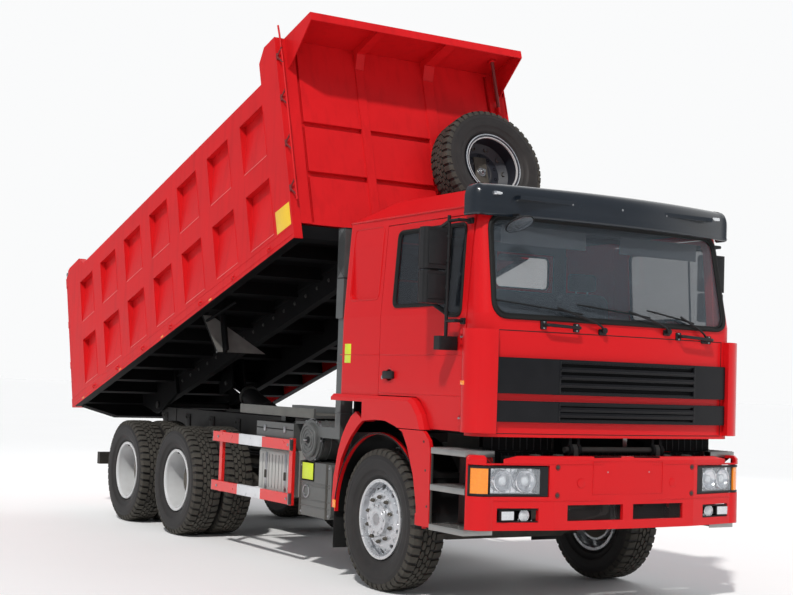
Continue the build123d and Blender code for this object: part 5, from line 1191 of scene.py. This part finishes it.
# --------------------------------------------------------------------- chassis
BOGIE = 4475  # station of the rear springs' saddle
p = Piece()
for p.side in SIDES:
    for station in (-1120, 1300, 2250, BOGIE, 5400, 2845):
        for y in about(station, 30):
            for z in (880, 960):
                p.bolt((430, y, z), X, 11, 9, cast)
    for station in range(1500, 6000, 640):
        # clamp plates between rail and subframe
        p.box((428, 440), about(station, 60), (860, 1130), black_frame, 4)
        for y in about(station, 35):
            for z in (900, 1090):
                p.bolt((440, y, z), X, 11, 9, cast)
    # loom and air pipes along the rail
    for drop, r, material in ((0, 14, rubber), (34, 9, plastic), (58, 9, plastic)):
        run = ((448, 1000, 860), (446, 3200, 850), (446, 4300, 846), (446, 5900, 852))
        p.tube([(x, y, z - drop) for x, y, z in run], r, material, 8, 1)
    p.boxes(plastic, 3, *[(428, 466, y - 8, y + 8, 782, 872) for y in range(1200, 5900, 420)])
    # front spring: separate leaves, U-bolts, saddle and damper
    for k in range(6):
        reach, z = 700 - 90 * k, 483 + 13 * k
        rise = (reach - 160) * 0.21
        for way in SIDES:
            leaf = ((way * 160, z), (way * reach, z + rise), (way * reach, z + rise + 10), (way * 160, z + 10))
            p.prism([(392, *q) for q in leaf], (77, 0, 0), cast, 1.5)
    bolt = ((386, 430), (386, 560), (400, 582), (460, 582), (474, 560), (474, 430))
    for y in (-70, 70):
        p.tube([(x, y, z) for x, z in bolt], 9, cast, 8, 2)
    p.box((384, 476), (-90, 90), (566, 580), cast, 4)
    damper = ((0, 30), (150, 30), (150, 38), (330, 38), (330, 0))
    p.lathe(damper, (520, 260, 470), (-0.1, 0.25, 1), black_frame, 20)
    # front brake chamber with its hose
    chamber = ((0, 0), (4, 60), (30, 74), (60, 78), (64, 84), (72, 84), (76, 78), (110, 66), (118, 0))
    p.lathe(chamber, (640, -120, 600), (0, -1, 0.15), black_frame, 28)
    p.tube([(640, -180, 660), (560, -240, 760), (470, -200, 860), (436, -160, 900)], 9, rubber, 8, 3)
    # bogie spring leaves, clamps, saddle, torque rods
    for k in range(9):
        for near, far in ((-150, 62 * k - 765), (150, 765 - 62 * k)):
            p.box((458, 552), (BOGIE + near, BOGIE + far), about(672 + 9.5 * k, 3.6), cast, 1.5)
    bolt = ((452, 500), (452, 742), (466, 758), (544, 758), (558, 742), (558, 500))
    for y in (-90, -40, 40, 90):
        p.tube([(x, BOGIE + y, z) for x, z in bolt], 11, cast, 8, 2)
    p.box((450, 560), (4355, 4595), (738, 756), cast, 6)
    p.lathe(((0, 0), (0, 84), (14, 88), (26, 84), (34, 50), (34, 0)), (558, BOGIE, 510), X, cast, 32)
    chamber = ((0, 0), (4, 66), (40, 80), (70, 84), (76, 90), (88, 90), (94, 84), (170, 84), (186, 70), (190, 0))
    for way, axle in ((-1, 3800), (1, 5150)):
        p.tube([(470, BOGIE + way * 90, 430), (470, BOGIE + way * 600, 420)], 24, cast, 12)
        eye = ((-38, 40), (38, 40), (38, 18), (-38, 18))
        p.lathe(eye, (470, BOGIE + way * 600, 420), X, cast, 24, True)
        # spring brake chamber behind each drive axle, its hose, the final drive's filler plug
        p.lathe(chamber, (620, axle + 90, 600), (-0.1, 1, 0.25), black_frame, 28)
        p.tube([(612, axle + 230, 690), (560, axle + 250, 790), (470, axle + 200, 860)], 9, rubber, 8, 3)
        p.bolt((0, axle + 110, HUB_Z), Y, 36, 22, cast)
    # black beam behind the bumper, painted shade that closes the gap over the bumper
    p.box((366, 980), (-1050, -1040), (1130, 1206), under_black, 3)
    # tail lamps: three lenses in a black box, reflector beside, wire to the rail
    p.box((696, 1104), (6190, 6247), (544, 652), plastic, 8)
    for x0, x1, material in ((710, 826, amber), (834, 960, tail_red), (968, 1090, tail_red)):
        p.box((x0, x1), (6240, 6252), (556, 640), material, 6)
    p.tube([(900, 6185, 600), (700, 6130, 700), (470, 6050, 780), (440, 5950, 820)], 9, rubber, 8, 3)
    p.box((1110, 1149), (6194, 6202), (560, 632), tail_red, 4)
    for x in (380, 1000):
        p.bolt((x, 6196, 596), Y, 10, 8, steel)
    # rail's end cap, tow coupling's bolts and plate's screws
    p.box((348, 432), (5996, 6004), (702, 998), black_frame, 2)
    for z in (730, 950):
        p.bolt((70, 6021, z), Y, 12, 10, steel)
    p.bolt((200, 6202, 596), Y, 6, 5, steel)
# final drive covers with their bolts, universal joints
for axle in (3800, 5150):
    for x, z in around(12, 186):
        p.bolt((x, axle + 110, HUB_Z + z), Y, 9, 9, cast)
    p.lathe(((0, 205), (12, 200), (40, 150), (54, 90), (58, 0)), (0, axle + 110, HUB_Z), Y, cast, 40)
for y, z in ((1215, 780), (3435, 650), (3945, 650), (4785, 650)):
    p.lathe(((-10, 62), (-10, 82), (10, 82), (10, 62)), (0, y, z), Y, cast, 32, True)
    for dx, dz in around(8, 72):
        p.bolt((dx, y + 10, z + dz), Y, 7, 7, steel)
# cross-beam that carries the back of the cab and dark ribbed apron behind the bumper's top, both black as painted
# shade that closes see-through gaps; blank plate
p.box((-1000, 1000), (664, 704), (1150, 1436), under_black, 8)
p.boxes(under_black, 3, (-960, 960, -1190, -1182, 860, 1108), (-320, 320, -1050, -1040, 1000, 1232))
p.boxes(plastic, 2, *[(x - 4, x + 4, -1198, -1189, 870, 1100) for x in range(-900, 901, 60)])
p.box((-250, 250), (6196, 6202), (550, 642), stripe_white, 3)
# hydraulic lines to the hoist
p.tube([(300, 1450, 920), (260, 2200, 900), (150, 2700, 880), (90, 2960, 870)], 16, rubber, 10, 3)
p.tube([(-300, 1450, 920), (-260, 2200, 900), (-150, 2700, 870), (-92, 2950, 850)], 16, rubber, 10, 3)
# engine: rocker cover ribs, fan and its cowl, radiator hose, seen through the arch
p.boxes(cast, 8, *[(-190, 190, y, y + 90, 1378, 1400) for y in range(-560, 191, 150)])
p.lathe(((0, 250), (60, 262), (70, 262), (70, 240), (10, 236)), (0, -956, 1130), Y, plastic, 40, True)
for x, z in around(8, 220):
    p.tube([(0, -915, 1130), (x, -915, 1130 + z)], 16, plastic, 6)
p.tube([(240, -940, 1370), (280, -800, 1400), (260, -600, 1380), (220, -480, 1340)], 30, rubber, 12, 3)
p.build("chassis_detail", "chassis", "black_frame")

p = Piece()
for p.side in SIDES:
    # inner face of each front arch: rolled edge, mud flap, bolts and marker
    turns = [math.radians(a) for a in range(8, 174, 6)]
    p.tube([(1173, 643 * math.cos(a), HUB_Z + 643 * math.sin(a)) for a in turns], 6, rubber, 6)
    p.box((800, 1160), (668, 676), (240, 620), rubber, 3)
    for x in (860, 980, 1100):
        p.bolt((x, 676, 590), Y, 9, 7, steel)
    for y, z in ((-790, 700), (-760, 950), (-730, 1150)):
        p.bolt((1237, y, z), X, 7, 5, cast)
    p.box((1172, 1176), (628, 676), (557, 620), amber, 2)
p.build("arch_detail", "chassis", "red_paint")

# ----------------------------------------------------------------------- hoist
hoist_angle = math.radians(17.2897)
hoist_way = Vector((0, math.cos(hoist_angle), math.sin(hoist_angle)))


def on_hoist(distance, aside=(0, 0, 0)):
    return Vector((0, 3000, 820)) + hoist_way * distance + Vector(aside)


p = Piece()
for distance, r, half in ((100, 108, 17), (700, 104, 12), (1300, 104, 12), (1790, 110, 30)):
    p.lathe(((-half, 99), (-half, r), (half, r), (half, 99)), on_hoist(distance), hoist_way, cast, 40, True)
p.lathe(((0, 52), (0, 70), (16, 74), (20, 66), (20, 52)), on_hoist(1838), hoist_way, steel, 36, True)
p.tube([on_hoist(180, (60, -20, 90)), on_hoist(180, (40, 0, 130)), on_hoist(260, (0, 0, 112))], 14, steel, 10, 2)
p.build("hoist_collars", "hoist_barrel", "black_frame")


# ------------------------------------------------------------------ cab inside
def cushion(name, x, y, z, material, crown, seams=(), cuts=22):
    """Stuffed block: rounded all over, crowned on its wide faces, pulled in along its seams across x."""
    part = bmesh.new()
    bmesh.ops.create_cube(part, size=2)
    bmesh.ops.subdivide_edges(part, edges=part.edges[:], cuts=cuts, use_grid_fill=True)
    half = Vector([abs(b - a) for a, b in (x, y, z)]) / 2
    thin = min(range(3), key=lambda i: half[i])
    one, two = [i for i in range(3) if i != thin]
    for v in part.verts:
        c = v.co / sum(abs(a) ** 7 for a in v.co) ** (1 / 7)
        fall = (1 - min(1, abs(c[one])) ** 2.5) * (1 - min(1, abs(c[two])) ** 2.5)
        c[thin] *= 0.80 + crown * 1.6 * fall
        c[thin] *= 1 - 0.16 * sum(math.exp(-(((c.x - s) / 0.035) ** 2)) for s in seams)
        c[thin] *= 1 + 0.012 * math.sin(9 * c[one] + 3 * c[two]) * math.sin(7 * c[two])
        v.co = c * half
    p = Piece()
    p.take(part, material, Matrix.Translation([(a + b) / 2 for a, b in (x, y, z)]))
    thing = put(name, p.data(name, 180), "cab")
    return thing


for name, x in (("left", 700), ("right", -700)):
    cushion(f"seat_base_{name}", about(x, 258), (-560, -60), (1580, 1718), seat_cloth, 0.14, (-0.52, 0.52))
    cushion(f"seat_back_{name}", about(x, 248), (-128, 8), (1690, 2336), seat_cloth, 0.16, (-0.5, 0.5))
    cushion(f"seat_head_{name}", about(x, 128), (-100, 0), (2356, 2500), seat_cloth, 0.16, cuts=12)
bunk = cushion("bunk_mattress", (-1090, 1090), (152, 598), (1740, 1880), bunk_cloth, 0.08, (-0.5, 0.0, 0.5))
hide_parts("seats")
p = Piece()
for x in (-700, 700):
    # seat's frame and sprung stands, headrest's posts, seat belt over the shoulder
    p.box(about(x, 200), (-470, -110), (1500, 1530), cast, 8)
    for post in about(x, 170):
        for y in range(-430, -129, 50):
            p.tube([(post, y, 1532), (post, y, 1580)], 10, plastic, 8)
    p.box(about(x, 244), (-540, -70), (1560, 1588), plastic, 10)
    for post in about(x, 60):
        p.tube([(post, -50, 2300), (post, -50, 2390)], 7, steel, 8)
    belt = [(x - 230, 10, 2280), (x - 150, -150, 2100), (x + 60, -190, 1850), (x + 220, -150, 1740)]
    p.tube(belt, 6, rubber, 6, 2)
# bunk's box, roof lining, header shelf, sun blinds and back wall's lining
p.box((-1095, 1095), (150, 600), (1500, 1738), plastic, 14)
p.boxes(under_black, 10, (-800, -300, 144, 151, 1540, 1700), (300, 800, 144, 151, 1540, 1700))
p.box((-1040, 1040), (-1040, 560), (2784, 2796), lining, 6)
p.box((-1000, 1000), (-1130, -930), (2660, 2690), plastic, 12)
p.boxes(lining, 10, (-920, -160, -1150, -1138, 2560, 2690), (160, 920, -1150, -1138, 2560, 2690))
p.boxes(lining, 8, (-1080, 1080, 596, 606, 1900, 2380), (-1040, 1040, 596, 606, 2704, 2786))
p.boxes(lining, 4, *[(x0, x1, 598, 606, 2370, 2712) for x0, x1 in ((-1050, -902), (-298, 298), (902, 1050))])
# instrument hood, gauges, vents, switches, gear lever and pedals
p.box((430, 850), (-1080, -960), (1930, 2030), plastic, 30)
for x in (560, 720):
    p.lathe(((0, 62), (-8, 62), (-8, 54), (-2, 50), (-2, 0)), (x, -958, 1900), FORE, plastic, 32)
    p.tube([(x, -952, 1900), (x + 30, -952, 1930)], 3, stripe_white, 6)
for x in (-860, -300, 300, 960):
    p.box(about(x, 70), (-1008, -996), (1880, 1950), plastic, 8)
    p.boxes(under_black, 1, *[(x - 60, x + 60, -1000, -990, z, z + 5) for z in range(1890, 1933, 14)])
p.boxes(plastic, 3, *[(x, x + 26, -984, -976, 1800, 1826) for x in range(-150, 131, 40)])
p.tube([(180, -560, 1500), (190, -520, 1700), (200, -500, 1820)], 12, steel, 10, 2)
p.lathe(((0, 22), (20, 30), (44, 28), (56, 0)), (200, -500, 1810), Z, plastic, 20)
for x in (480, 640, 800):
    p.tube([(x, -1150, 1600), (x, -1080, 1400), (x, -1060, 1330)], 9, steel, 8, 1)
    p.box(about(x, 34), (-1090, -1050), (1300, 1330), rubber, 5)
# steering wheel: rim, boss and spokes
column = Vector((640, -830, 2010))
lean = Vector((0, 170, 450)).normalized()
level = lean.cross(X)
p.tube([column + Vector(X) * a + level * b for a, b in around(40, 216)], 17.5, plastic, 10, closed=True)
p.lathe(((0, 70), (18, 66), (26, 40), (28, 0)), column + lean * 12, lean, plastic, 32)
for a in (0.5, 2.64, 4.71):
    spoke = column + Vector(X) * 212 * math.cos(a) + level * 212 * math.sin(a)
    p.tube([column + lean * 10, spoke], 15, plastic, 8)
p.build("cab_interior", "cab", "black_plastic")
